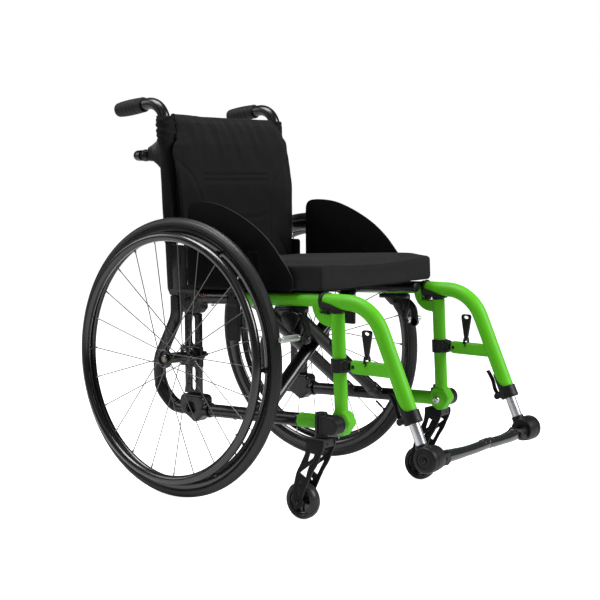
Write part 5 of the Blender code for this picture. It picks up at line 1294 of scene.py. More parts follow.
def makeFootJoint():
    own = footLook
    x, hinge, height = sideX, own["hinge"], own["bar"]
    place = acrossPlace(x, own["ahead"], own["height"])
    radius = own["radius"]
    drum = turned([(0.0, 0.0204), (0.0088, 0.0204), (0.0092, 0.0212), (0.014, 0.0212), (0.0146, 0.0204),
        (0.0158, 0.0204), (0.0164, 0.022), (0.0214, 0.022), (0.023, 0.0212), (radius - 0.0006, 0.019),
        (radius, 0.0165), (radius, 0.01), (radius - 0.0008, 0.0092), (radius - 0.0008, 0.008),
        (radius, 0.0072), (radius, 0.002), (0.0246, -0.007), (0.0228, -0.018), (0.0215, -0.019),
        (0.0, -0.019)], place, 96)
    tubeEnd = footTubePath()[1]
    neck = rod(tubeEnd + downHanger * 0.002, tubeEnd - downHanger * 0.0215, 0.0126, 0.0012, 48)
    arm = sidePlate(around(own["ahead"], height, [(0.016, -0.011), (0.016, 0.0085), (0.012, 0.0115),
        (-0.012, 0.0115), (-0.016, 0.0085), (-0.016, -0.011)]), hinge, x - 0.015, 0.002)
    knuckle = rodAlong(hinge, own["ahead"] + 0.016, own["ahead"] - 0.016, height, 0.0115, 0.001, 48)
    made = weldSkin(joinUp(neck, arm, knuckle), 0.0008, 3)
    room = box((hinge - 0.03, own["ahead"] + 0.0064, height - 0.03),
        (x - 0.0193, own["ahead"] - 0.0064, height + 0.03))
    drumRoom = rodAcross(x - 0.0188, x + 0.02, own["ahead"], own["height"], 0.0224, sides=64)
    made = carve(made, room, drumRoom)
    pin = rodAlong(hinge, own["ahead"] + 0.0166, own["ahead"] - 0.0166, height, 0.0037, 0.0004)
    tube = rod(*footTubePath(0.0006), 0.0107, sides=48)
    return carve(joinUp(drum, made, pin), tube)


bothSides(makeFootJoint(), "footJoint", "foot_{}", "plastic", ["foot_joint_{}"], 30)
footScrews = joinUp(makeScrew(spot(sideX + 0.0202, footLook["ahead"], footLook["height"]), across, 1.4),
    makeScrew(spot(footLook["hinge"] + 0.004, footLook["ahead"] + 0.0158, footLook["bar"] + 0.001),
    Vector((0, -1, 0)), 0.9), makeScrew(spot(footLook["hinge"] + 0.013, footLook["ahead"] + 0.008,
    footLook["bar"] + 0.0108), Vector((0, 0, 1)), 0.65))
bothSides(footScrews, "footScrews", "foot_{}", "anodised")


def makeFootBar(side):
    own = footLook
    reach = own["seam"] * side + 0.001
    hinge, height = own["hinge"], own["bar"]
    start = hinge - 0.0135
    span = start - reach
    points, sizes = [], []
    for step in range(25):
        share = step / 24
        bow = sin(pi * min(share * 0.9, 1.0))
        points.append(spot(start - span * share, own["ahead"] + 0.0024 * bow, height - 0.0014 * bow))
        sizes.append(0.0124 - 0.0022 * min(share * 2.2, 1.0) ** 1.5)
    bar = bentTube(points, 1.0, sizes=sizes, sides=40)
    roundEdges(bar, 0.0006)
    root = rodAcross(start + 0.0005, start - 0.0125, own["ahead"], height, 0.0125, 0.0014, 48)
    tip = rod(spot(reach + 0.016, own["ahead"] + 0.0006, height - 0.0004),
        spot(reach, own["ahead"], height), 0.0108, 0.001, 48)
    tongue = box((start - 0.006, own["ahead"] + 0.0058, height - 0.0088),
        (hinge, own["ahead"] - 0.0058, height + 0.0088), 0.0006)
    eye = rodAlong(hinge, own["ahead"] + 0.0059, own["ahead"] - 0.0059, height, 0.0104, 0.0004, 48)
    return joinUp(bar, root, tip, tongue, eye)


for side, name in ((1, "left"), (-1, "right")):
    made = makeFootBar(side)
    if side < 0:
        made.scale.x = -1
        cleanUp(applyPlace(made))
    settle(made, "footBar_" + name, "foot_bar_" + name, "footBar", ["foot_bar_" + name])
print("footrest done")


# Back canes, push grips and the stabiliser bar

caneLook = {"tube": 0.0125, "bend": 0.045, "footAhead": -0.058, "footHeight": 0.435,
    "topAhead": -0.0795, "topHeight": 0.8405, "endAhead": -0.22, "endHeight": 0.8248,
    "barHeight": 0.7235, "pivot": -0.138, "barAhead": -0.172, "barTube": 0.0115, "bracketLow": 0.4212,
    "bracketHigh": 0.53}
caneX = chair["caneX"]
caneFoot = spot(caneX, caneLook["footAhead"], caneLook["footHeight"])
caneTop = spot(caneX, caneLook["topAhead"], caneLook["topHeight"])
caneEnd = spot(caneX, caneLook["endAhead"], caneLook["endHeight"])


def caneAhead(height):
    share = (height - caneFoot.z) / (caneTop.z - caneFoot.z)
    return caneLook["footAhead"] + (caneLook["topAhead"] - caneLook["footAhead"]) * share


def makeCane():
    own, x, middle = caneLook, sideX, caneLook["barHeight"]
    tube = bentTube([caneFoot, caneTop, caneEnd], own["tube"], own["bend"], 40)
    bracket = box((x - 0.012, -0.036, own["bracketLow"]), (x + 0.0112, -0.0655, own["bracketHigh"]),
        0.0042, 4)
    grooves = [box((x + face * 0.0107, -0.0485, 0.4), (x + face * 0.02, -0.0515, 0.55))
        for face in (-1, 1)]
    grooves += [box((x + 0.003, -0.03, 0.4), (x - 0.003, -0.0368, 0.55))]
    carve(bracket, *grooves)
    slot = closedRound(-0.0215, 0.503, 0.006, 0.015, 0.004)
    cheek = sidePlate([(-0.0655, 0.43), (-0.0655, 0.527), (-0.06, 0.53), (-0.012, 0.53),
        (-0.0075, 0.526), (-0.0075, 0.448), (-0.004, 0.4408), (0.026, 0.44), (0.026, 0.4325),
        (-0.016, 0.43)], x + 0.0102, x + 0.013, 0.001)
    carve(cheek, sidePlate(slot, x + 0.0119, x + 0.02))
    front = caneAhead(middle)
    shell = midPlate([(front + 0.004, middle - 0.03), (front - 0.012, middle - 0.029),
        (front - 0.022, middle - 0.021), (front - 0.034, middle - 0.0135), (-0.1242, middle - 0.0125),
        (-0.1242, middle + 0.0125), (front - 0.052, middle + 0.016), (front - 0.037, middle + 0.0225),
        (front - 0.024, middle + 0.03), (front + 0.004, middle + 0.03)], caneX, 0.009, 0.0045,
        segments=4)
    ears = []
    for face in (-1, 1):
        low, high = middle + face * 0.0068, middle + face * 0.0116
        ears.append(rodUp(caneX, own["pivot"], low, high, 0.0104, 0.0016, 48))
        ears.append(box((caneX - 0.0098, -0.1215, low), (caneX + 0.0098, own["pivot"], high), 0.0016,
            3))
    return joinUp(tube, bracket, cheek, shell, *ears)


bothSides(makeCane(), "backCane", "{}_side", "black", ["back_cane_{}"], 40)

rearward = Vector((0, 1, 0))


def makeCaneBolts():
    bolts = []
    for height in (0.4285, 0.468, 0.508):
        place = facing(spot(sideX, -0.0652, height), rearward, "X")
        bolts.append(turned([(0.0056, 0.0), (0.0058, 0.0034), (0.0053, 0.0058), (0.0041, 0.007),
            (0.0026, 0.0073), (0.002, 0.005), (0.0, 0.005)], place, 32))
    pin = rodUp(caneX, caneLook["pivot"], caneLook["barHeight"] - 0.013, caneLook["barHeight"] + 0.013,
        0.0046, 0.0009)
    return joinUp(*bolts, pin)


bothSides(makeCaneBolts(), "caneBolts", "{}_side", "anodised")

gripLook = {"length": 0.08, "bore": 0.0127, "rings": 5}


def makeGrip():
    # measured from the cane's end towards the chair
    inward = (caneTop - caneEnd).normalized()
    place = facing(caneEnd, inward)
    profile = [(0.0, -0.0052), (0.008, -0.005), (0.012, -0.0042), (0.0146, -0.0022), (0.0156, 0.0008),
        (0.016, 0.005)]
    for index in range(gripLook["rings"]):
        low = 0.015 + index * 0.0115
        full = 0.016 + 0.0015 * sin(pi * low / gripLook["length"])
        profile += around(full, low, [(0, -0.0016), (-0.0004, -0.0006), (-0.0004, 0.0006), (0, 0.0016)])
    profile += [(0.0163, 0.073), (0.0166, 0.0772), (0.0162, 0.0795), (0.015, gripLook["length"]),
        (gripLook["bore"], gripLook["length"]), (gripLook["bore"], 0.0008), (0.0, 0.0008)]
    return turned(profile, place, 48)


bothSides(makeGrip(), "pushGrip", "{}_side", "grip", ["push_grip_{}"], 40)


def makeStabiliser():
    own = caneLook
    height, near = own["barHeight"], own["pivot"] - 0.0118
    bar = bentTube([spot(caneX, near, height), spot(caneX, own["barAhead"], height),
        spot(-caneX, own["barAhead"], height), spot(-caneX, near, height)], own["barTube"], 0.018, 40)
    ends = []
    for face in (-1, 1):
        x = caneX * face
        ends.append(box((x - 0.008, near - 0.006, height - 0.0063),
            (x + 0.008, own["pivot"], height + 0.0063)))
        ends.append(rodUp(x, own["pivot"], height - 0.0063, height + 0.0063, 0.01, 0.0008, 48))
    return joinUp(bar, *ends)


settle(makeStabiliser(), "stabiliserBar", "stabiliser", "black", ["stabiliser_bar"], 40)
print("backrest frame done")


# Brakes

brakeLook = {"inner": 0.181, "plate": 0.004, "layer": 0.1853, "coverInner": 0.1896, "cover": 0.003,
    "lever": (0.3, 0.4), "arm": (0.272, 0.398), "shoe": (0.2993, 0.3585), "shoeRadius": 0.0066,
    "knob": (0.3218, 0.3558)}


def closedCurve(points, steps=6):
    line = smoothLine([points[-1]] + list(points) + [points[0], points[1]], steps)
    return [tuple(point) for point in line[steps:steps * (len(points) + 1)]]


def makeBrakePlate():
    own, x = brakeLook, sideX
    under = seatRise - chair["tube"] - 0.0003
    front, rear = 0.312, 0.2385
    frontTop, rearTop = onRake(0, front, under).z, onRake(0, rear, under).z
    bar = sidePlate([(front, frontTop), (rear, rearTop), (rear, rearTop - 0.01),
        (front, frontTop - 0.0118)], x - 0.009, own["inner"] + 0.0008, 0.0016)
    web = sidePlate([(front, frontTop - 0.003), (0.244, rearTop - 0.004), (0.246, rearTop - 0.013),
        (0.26, 0.3925), (0.28, 0.3865), (0.288, 0.376), (0.2915, 0.364), (0.295, 0.3615),
        (0.303, 0.3625), (0.306, 0.37), (0.312, 0.39)], own["inner"], own["inner"] + own["plate"],
        0.0009)
    shield = closedCurve([(0.26, 0.3925), (0.26, 0.402), (0.2655, 0.4078), (0.28, 0.4088),
        (0.295, 0.408), (0.3045, 0.4045), (0.3078, 0.3985), (0.302, 0.3885), (0.2905, 0.3715),
        (0.2845, 0.3672), (0.2785, 0.3692), (0.268, 0.38)])
    cover = sidePlate(shield, own["coverInner"], own["coverInner"] + own["cover"], 0.0011, segments=3)
    pins = [rod(spot(own["inner"] + 0.001, *place), spot(own["coverInner"] + 0.001, *place), 0.003)
        for place in (own["lever"], own["arm"])]
    return joinUp(bar, web, cover, *pins)


bothSides(makeBrakePlate(), "brakePlate", "{}_side", "black", ["brake_plate_{}"])
coverFace = brakeLook["coverInner"] + brakeLook["cover"] - 0.0002
brakeScrews = joinUp(makeScrew(spot(coverFace, 0.274, 0.4004), across, 0.75),
    makeScrew(spot(brakeLook["inner"] + 0.0002, 0.298, 0.376), -across, 0.85),
    makeScrew(spot(brakeLook["inner"] + 0.0002, 0.272, 0.399), -across, 0.85))
bothSides(brakeScrews, "brakeScrews", "{}_side", "anodised")


def makeBrakeLever():
    own = brakeLook
    ahead, height = own["lever"]
    knob, low = own["knob"]
    blade = closedCurve([(ahead - 0.0055, height - 0.004), (ahead - 0.0035, height + 0.006),
        (ahead + 0.006, height + 0.0078), (knob - 0.002, height - 0.002),
        (knob + 0.006, height - 0.013), (knob + 0.0088, height - 0.028), (knob + 0.0088, low),
        (knob, low - 0.0088), (knob - 0.0088, low), (knob - 0.008, height - 0.027),
        (knob - 0.0115, height - 0.015), (ahead + 0.002, height - 0.0085)], 5)
    made = sidePlate(blade, own["layer"], own["layer"] + own["plate"], 0.0012, segments=3)
    grip = turned([(0.0, 0.0), (0.0088, 0.0), (0.009, 0.006), (0.0082, 0.008), (0.006, 0.009),
        (0.0035, 0.009), (0.003, 0.0082), (0.0, 0.0082)], acrossPlace(own["layer"], knob, low), 40)
    bore = rodAcross(own["layer"] - 0.01, own["layer"] + 0.02, ahead, height, 0.0034)
    return carve(joinUp(made, grip), bore)


bothSides(makeBrakeLever(), "brakeLever", "brake_lever_{}", "black", ["brake_lever_{}"])


def makeShoeArm():
    own = brakeLook
    ahead, height = own["arm"]
    toe, low = own["shoe"]
    arm = sidePlate(closedCurve([(ahead - 0.006, height), (ahead - 0.003, height + 0.0058),
        (ahead + 0.004, height + 0.0052), (toe - 0.008, low + 0.018), (toe + 0.0062, low + 0.002),
        (toe + 0.004, low - 0.0058), (toe - 0.004, low - 0.0058), (toe - 0.01, low + 0.004)], 5),
        own["layer"], own["layer"] + own["plate"], 0.0009)
    return carve(arm, rodAcross(own["layer"] - 0.01, own["layer"] + 0.02, ahead, height, 0.0034))


def makeShoe():
    own = brakeLook
    radius = own["shoeRadius"]
    far = chair["wheelX"] + 0.0055 - own["layer"]
    profile = [(0.0, 0.0026), (radius - 0.0006, 0.0026), (radius, 0.0034)]
    for index in range(9):
        ring = 0.012 + index * 0.0044
        profile += [(radius, ring - 0.0005), (radius - 0.0003, ring), (radius, ring + 0.0005)]
    profile += [(radius, far - 0.0022), (radius - 0.0008, far - 0.0006), (radius - 0.0018, far),
        (0.0026, far), (0.0024, far - 0.003), (0.0, far - 0.003)]
    return turned(profile, acrossPlace(own["layer"], *own["shoe"]), 40)


bothSides(makeShoeArm(), "shoeArm", "brake_shoe_{}", "black")
bothSides(makeShoe(), "brakeShoe", "brake_shoe_{}", "shoe", ["brake_shoe_{}"])
print("brakes done")


# Side guards and the receivers that they drop into

guardLook = {"x": 0.196, "half": 0.0015, "ahead": 0.134, "tongue": 0.0125, "tongueLow": 0.35,
    "depth": 0.0052, "width": 0.016, "low": 0.338, "high": 0.448}


def makeGuardReceiver():
    own, x = guardLook, guardLook["x"]
    bar = box((x - own["depth"], own["ahead"] + own["width"], own["low"]),
        (x + own["depth"], own["ahead"] - own["width"], own["high"]), 0.002, 3)
    ring = rodOnRake(sideX, own["ahead"] - own["width"] + 0.001, own["ahead"] + own["width"] - 0.001,
        seatRise, 0.0161, 0.001, 64)
    ear = box((x - 0.01, 0.149, 0.412), (x + own["depth"] + 0.0012, 0.119, 0.442), 0.0022, 3)
    made = weldSkin(joinUp(bar, ring, ear), 0.0009, 2)
    room = rodOnRake(sideX, 0.08, 0.2, seatRise, 0.0137, sides=64)
    slot = box((x - 0.0018, own["ahead"] + 0.0128, own["low"] - 0.01),
        (x + 0.0018, own["ahead"] - 0.0128, own["high"] + 0.01))
    holes = [rodAcross(x + 0.002, x + 0.02, 0.1225, height, 0.0014, sides=12)
        for height in (0.3703, 0.3865, 0.4)]
    wells = [rodAcross(x + 0.003, x + 0.02, 0.1225, 0.429, 0.0032),
        rodAcross(x + 0.003, x + 0.02, 0.1455, 0.429, 0.0032),
        rodAcross(x + 0.003, x + 0.02, 0.134, 0.436, 0.0022)]
    return carve(made, room, slot, joinUp(*holes), joinUp(*wells))


bothSides(makeGuardReceiver(), "guardReceiver", "{}_side", "plastic", ["guard_receiver_{}"],
    40)


def makeGuard():
    own, x = guardLook, guardLook["x"]
    near, far = x - own["half"], x + own["half"]
    base, frontBase = 0.4484, 0.4488
    edge = smoothLine([(0.286, frontBase), (0.292, 0.456), (0.2932, 0.473), (0.282, 0.493),
        (0.265, 0.513), (0.238, 0.543), (0.203, 0.571), (0.163, 0.5935), (0.123, 0.6105),
        (0.088, 0.6205), (0.053, 0.6242), (0.027, 0.6235), (0.013, 0.619), (0.0062, 0.609),
        (0.005, 0.595)], 7)
    outline = ([(0.005, base), (own["ahead"] - own["tongue"], base),
        (own["ahead"] - own["tongue"], own["tongueLow"]), (own["ahead"] + own["tongue"],
        own["tongueLow"]), (own["ahead"] + own["tongue"], base)] + [tuple(point) for point in edge])
    plate = sidePlate(outline, near, far)
    # rubbed slots and a pressed panel on the outboard face
    slots = []
    for ahead in (0.066, 0.074):
        slots.append(sidePlate(arc(ahead, 0.498, 0.0011, 0, 180, 8)
            + arc(ahead, 0.48, 0.0011, 180, 360, 8), x + 0.0008, x + 0.01))
    frame = closedRound(0.1895, 0.5015, 0.015, 0.0245, 0.006)
    inside = closedRound(0.1895, 0.5015, 0.0142, 0.0237, 0.0053)
    groove = carve(sidePlate(frame, x + 0.0011, x + 0.01), sidePlate(inside, x - 0.01, x + 0.02))
    carve(plate, joinUp(*slots), groove)
    return roundEdges(plate, 0.0005, 2, 50)


bothSides(makeGuard(), "sideGuard", "guard_{}", "panel", ["side_guard_{}"], 40)
guardScrews = joinUp(*[makeScrew(spot(guardLook["x"] - guardLook["half"] + 0.0002, ahead, height),
    -across, 0.8) for ahead, height in ((0.09, 0.503), (0.18, 0.51))])
bothSides(guardScrews, "guardScrews", "guard_{}", "anodised")
print("guards done")


# Cross brace with the seat rails

braceLook = {"hingeTube": 0.0125, "jacket": 0.0137, "rear": 0.022, "front": 0.311, "arm": 0.0125,
    "flatten": 1.35, "rail": 0.0105, "railRear": -0.008, "railFront": 0.35, "single": (0.19,),
    "twin": (0.151, 0.229), "voxel": 0.0015, "bolt": 0.005, "reach": 0.0518, "head": 0.009}
crossing = railRise * sideX / (sideX + railX)


def squareToRake(x, along, rise):
    return rakePlace() @ Vector((x, -along, rise))


def makeBrace(side, arms):
    own = braceLook
    x, railSide = sideX * side, -railX * side
    parts = [rodOnRake(x, own["rear"], own["front"], 0, own["hingeTube"], 0.0008, 48),
        rodOnRake(x, 0.052, 0.296, 0, own["jacket"], 0.0006, 48),
        rodOnRake(railSide, own["railRear"], own["railFront"], railRise, own["rail"], 0, 48)]
    for along in arms:
        foot, head = squareToRake(x, along, 0), squareToRake(railSide, along, railRise)
        middle = (foot + head) / 2
        way = (head - foot).normalized()
        arm = joinUp(rod(foot, head, own["arm"], 0, 40), rod(foot + way * 0.01, foot + way * 0.034,
            own["arm"] + 0.0016, 0.0014, 40), rod(head - way * 0.01, head - way * 0.03,
            own["arm"] + 0.0014, 0.0014, 40))
        arm.location = -middle
        applyPlace(arm)
        arm.scale.y = own["flatten"]
        applyPlace(arm)
        arm.location = middle
        parts.append(applyPlace(arm))
    made = weldSkin(joinUp(*parts), own["voxel"], 4)
    return made


def makeBraceBolt():
    own = braceLook
    middle = own["single"][0]
    front, rear = middle + own["reach"], middle - own["reach"]
    shaft = rod(squareToRake(0, rear, crossing), squareToRake(0, front, crossing), own["bolt"])
    head = rod(squareToRake(0, front, crossing), squareToRake(0, front + 0.0058, crossing), own["head"],
        0.0016, 40)
    nut = rod(squareToRake(0, rear - 0.0058, crossing), squareToRake(0, rear, crossing), own["head"],
        0.0008, 6)
    return joinUp(shaft, head, nut)


singleArm = makeBrace(-1, braceLook["single"])
settle(singleArm, "singleBrace", "brace_single", "black", ["brace_single_arm"], 40)
twinArms = makeBrace(1, braceLook["twin"])
boltRoom = rod(squareToRake(0, 0.1, crossing), squareToRake(0, 0.28, crossing),
    braceLook["bolt"] + 0.0003)
settle(carve(twinArms, boltRoom), "twinBrace", "brace_twin", "black", ["brace_twin_arm"],
    40)
settle(makeBraceBolt(), "braceBolt", "brace_single", "anodised")


def makeRailCaps(side):
    x = -railX * side
    caps = []
    for ahead, inward in ((braceLook["railFront"], -1), (braceLook["railRear"], 1)):
        place = rakePlace()
        place.translation = onRake(x, ahead, railRise)
        place = place @ Matrix.Rotation(radians(90 * -inward), 4, "X")
        caps.append(turned([(0.0, 0.0034), (0.007, 0.0034), (0.0094, 0.0028), (0.0107, 0.0014),
            (0.011, -0.001), (0.011, -0.004), (0.0, -0.004)], place, 48))
    return joinUp(*caps)


for side, body in ((-1, "brace_single"), (1, "brace_twin")):
    settle(makeRailCaps(side), "railCaps_" + ("right" if side < 0 else "left"), body,
        "plastic")
print("braces done")


# Soft goods

clothLook = {"frames": 20, "pressure": 4.0, "foldedShare": 0.32}


def smoothStep(low, high, value):
    share = min(1.0, max(0.0, (value - low) / (high - low)))
    return share * share * (3 - 2 * share)


def hump(distance, width):
    return exp(-(distance / width) ** 2)


def valueAt(stops, place):
    if place <= stops[0][0]:
        return stops[0][1]
    for (before, low), (after, high) in zip(stops, stops[1:]):
        if place <= after:
            return low + (high - low) * smoothStep(before, after, place)
    return stops[-1][1]


def lineDistance(x, z, line):
    nearest = 1.0
    for (startX, startZ), (endX, endZ) in zip(line, line[1:]):
        runX, runZ = endX - startX, endZ - startZ
        share = ((x - startX) * runX + (z - startZ) * runZ) / (runX * runX + runZ * runZ)
        share = min(1.0, max(0.0, share))
        nearest = min(nearest, hypot(x - startX - runX * share, z - startZ - runZ * share))
    return nearest


def swell(piece, look):
    # a stuffed cloth skin blown up a little, its movement held back, then divided once
    modify(piece, "REMESH", mode="VOXEL", voxel_size=look["voxel"])
    start = [vertex.co.copy() for vertex in piece.data.vertices]
    pick(piece)
    bpy.ops.object.modifier_add(type="CLOTH")
    cloth = piece.modifiers[-1]
    cloth.settings.use_pressure = True
    cloth.settings.uniform_pressure_force = clothLook["pressure"]
    cloth.settings.effector_weights.gravity = 0
    for moment in range(1, clothLook["frames"] + 1):
        bpy.context.scene.frame_set(moment)
    bpy.ops.object.modifier_apply(modifier=cloth.name)
    bpy.context.scene.frame_set(1)
    farthest = 0.0
    for vertex, before in zip(piece.data.vertices, start):
        way = vertex.co - before
        farthest = max(farthest, way.length)
        if way.length > 0:
            gaps = sorted(min(before[axis] - look["from"][axis], look["to"][axis] - before[axis])
                for axis in look["axes"])
            slack = 0.22 + 0.78 * smoothStep(0.0, 0.034, gaps[look["rank"]])
            vertex.co = before + way * (slack * look["cap"] * tanh(way.length / look["cap"]) /
                way.length)
    print("cloth moved up to", round(farthest, 4))
    modify(piece, "SMOOTH", factor=0.5, iterations=look["smooth"])
    return modify(piece, "SUBSURF", levels=1, render_levels=1)


def seamCord(piece, points, radius, sink):
    # a sewn line lying in the cloth it belongs to
    placed = []
    for point in points:
        surface, normal = piece.closest_point_on_mesh(point)[1:3]
        placed.append(surface - normal * sink)
    return bentTube(placed, radius, sides=8)


def along(points, step=0.006):
    line = [points[0]]
    for before, after in zip(points, points[1:]):
        count = max(1, round((after - before).length / step))
        line += [before.lerp(after, index / count) for index in range(1, count + 1)]
    return line


# Seat sling and cushion, both drawn in the place of the raked tubes

slingLook = {"half": 0.15, "front": -0.361, "rear": -0.003, "low": 0.2546, "high": 0.2572,
    "wrap": 0.0122}
cushionLook = {"half": 0.1908, "front": -0.3775, "rear": -0.002, "low": 0.2592, "high": 0.3105,
    "rim": 0.0045, "voxel": 0.005, "cap": 0.008, "smooth": 1, "dip": 0.007, "dipHalf": 0.16,
    "dipReach": 0.07, "seam": 0.0009, "widest": 0.1932, "from": (-0.1908, -0.3775, 0.2592),
    "to": (0.1908, -0.002, 0.3105), "axes": (0, 1, 2), "rank": 1}


def makeSling():
    own, rail = slingLook, railX
    reach = own["wrap"]
    outline = []
    for face in (1, -1):
        turns = [radians(turn) for turn in range(28, 91, 6)]
        ring = [(face * (rail + reach * cos(turn)), railRise + (reach + 0.0014) * sin(turn))
            for turn in turns]
        outline += ring if face > 0 else ring[::-1]
    under = [(x - copysign(0.0011, x) * (abs(x) > rail), height - 0.0013) for x,
        height in outline[::-1]]
    strip = drawLine([Vector((x, own["front"], height)) for x, height in outline + under], closed=True)
    openEdit(strip)
    bpy.ops.mesh.edge_face_add()
    bpy.ops.mesh.extrude_region_move(TRANSFORM_OT_translate={"value": (0, own["rear"] - own["front"],
        0)})
    closeEdit()
    cleanUp(strip)
    hems = [block((-rail + 0.014, at, own["high"] - 0.0006),
        (rail - 0.014, at + 0.0009, own["high"] + 0.0002)) for at in (own["front"] + 0.012,
        own["front"] + 0.03, own["rear"] - 0.013, own["rear"] - 0.031)]
    made = joinUp(strip, *hems)
    made.matrix_world = rakePlace()
    return applyPlace(made)


def dipAt(x):
    return cushionLook["dip"] * max(0.0, 1 - (x / cushionLook["dipHalf"]) ** 2) ** 1.2


def makeCushion():
    own = cushionLook
    made = block((-own["half"], own["front"], own["low"]), (own["half"], own["rear"], own["high"]),
        own["rim"], 4)
    swell(made, own)
    for vertex in made.data.vertices:
        x, y, z = vertex.co
        share = max(0.0, 1 - (x / own["half"]) ** 2)
        top = smoothStep(own["low"] + 0.012, own["high"], z)
        front = smoothStep(own["front"] + own["dipReach"], own["front"], y)
        rear = smoothStep(own["rear"] - 0.05, own["rear"], y)
        crown = 0.002 * share * (1 - ((y - own["front"]) / (own["rear"] - own["front"]) * 2 - 1) ** 4)
        z += top * (crown - dipAt(x) * front ** 1.5 - 0.003 * rear)
        # the soft hollow between the thighs' places and a few pulls from the corners
        z += top * 0.0011 * sin(x * 62 + y * 9) * (1 - front) * share
        pull = 0.0014 * hump(abs(z - (own["low"] + own["high"]) / 2), 0.012)
        if abs(y - own["front"]) < 0.02:
            y += pull * share
        vertex.co = (copysign(min(abs(x), own["widest"]), x), y, max(z, own["low"] - 0.0002))
    edge = own["high"] + 0.001
    half, front, rear = own["widest"] - 0.001, own["front"] - 0.001, own["rear"] + 0.001
    frontLine = [Vector((x, front, edge - dipAt(x))) for x in [half * (step / 30 - 1)
        for step in range(61)]]
    sides = [along([Vector((face * half, front, edge)), Vector((face * half, rear, edge))])
        for face in (-1, 1)]
    corners = [along([Vector((face * half, front, edge)), Vector((face * half, front,
        own["low"] + 0.003))], 0.003) for face in (-1, 1)]
    low = own["low"] + 0.0035
    skirt = along([Vector((-half, rear, low)), Vector((-half, front, low)), Vector((half, front, low)),
        Vector((half, rear, low))])
    cords = [seamCord(made, line, own["seam"], 0.0004) for line in [frontLine, *sides, *corners, skirt]]
    made = joinUp(made, *cords)
    made.matrix_world = rakePlace()
    return applyPlace(made)


sling = settle(makeSling(), "seatSling", "seat", "web", ["seat_sling"], 40)
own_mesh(sling)

cushion = settle(makeCushion(), "seatCushion", "seat", "cover", ["seat_cushion"], 60)
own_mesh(cushion)
print("seat done")


# Back upholstery: a padded panel, a sleeve round each cane and the webs that join them

backLook = {"start": 0.184, "voxel": 0.0045, "cap": 0.005, "smooth": 2, "sleeve": 0.0147,
    "bore": 0.0129, "flap": 0.7, "from": (-0.184, 0, 0.4545), "to": (0.184, 0, 0.8115), "axes": (0, 2),
    "rank": 0, "sleeveLow": 0.534, "sleeveTop": 0.807, "channel": 0.0022, "channelDepth": 0.0013,
    "puff": 0.0007}
backFront = [(0.4545, -0.026), (0.54, -0.0275), (0.65, -0.029), (0.748, -0.044), (0.793, -0.06),
    (0.811, -0.0755)]
backWidths = {-1: [(0.47, 0.168), (0.54, 0.173), (0.563, 0.175), (0.617, 0.178), (0.66, 0.1815),
    (0.7, 0.186), (0.73, 0.1895), (0.742, 0.186), (0.758, 0.1735), (0.776, 0.165), (0.792, 0.1655),
    (0.805, 0.1715), (0.812, 0.178)], 1: [(0.47, 0.182), (0.54, 0.186), (0.602, 0.1885), (0.694, 0.189),
    (0.73, 0.188), (0.755, 0.1875), (0.776, 0.18), (0.792, 0.175), (0.805, 0.172), (0.812, 0.167)]}
backSeams = [[(-0.1942, 0.7233), (-0.1587, 0.6925), (-0.1452, 0.6751), (-0.1328, 0.6482),
    (-0.1242, 0.6258), (-0.116, 0.595), (-0.112, 0.56), (-0.112, 0.48)],
    [(0.18, 0.7233), (0.1617, 0.7091), (0.1376, 0.6837), (0.1129, 0.6536), (0.1011, 0.6212),
    (0.0972, 0.5913), (0.0996, 0.5385), (0.102, 0.48)], [(-0.1108, 0.6809), (0.0949, 0.6811)],
    [(-0.1111, 0.6687), (0.0946, 0.6687)], [(-0.105, 0.5865), (0.0151, 0.5846), (0.065, 0.585),
    (0.0821, 0.5916)],]
# place across at the top, lean, width, depth, lower end
backCreases = [(-0.138, 0.1, 0.0115, 0.0016, 0.7), (-0.104, -0.1, 0.0092, 0.002, 0.69),
    (-0.066, 0.06, 0.01035, 0.0021, 0.694), (-0.034, -0.12, 0.00805, 0.0017, 0.74),
    (-0.008, 0.1, 0.01035, 0.0019, 0.69), (0.022, -0.05, 0.0092, 0.0021, 0.735),
    (0.052, 0.14, 0.01035, 0.0019, 0.692), (0.088, -0.12, 0.0115, 0.0021, 0.72),
    (0.126, 0.16, 0.01265, 0.0015, 0.73)]


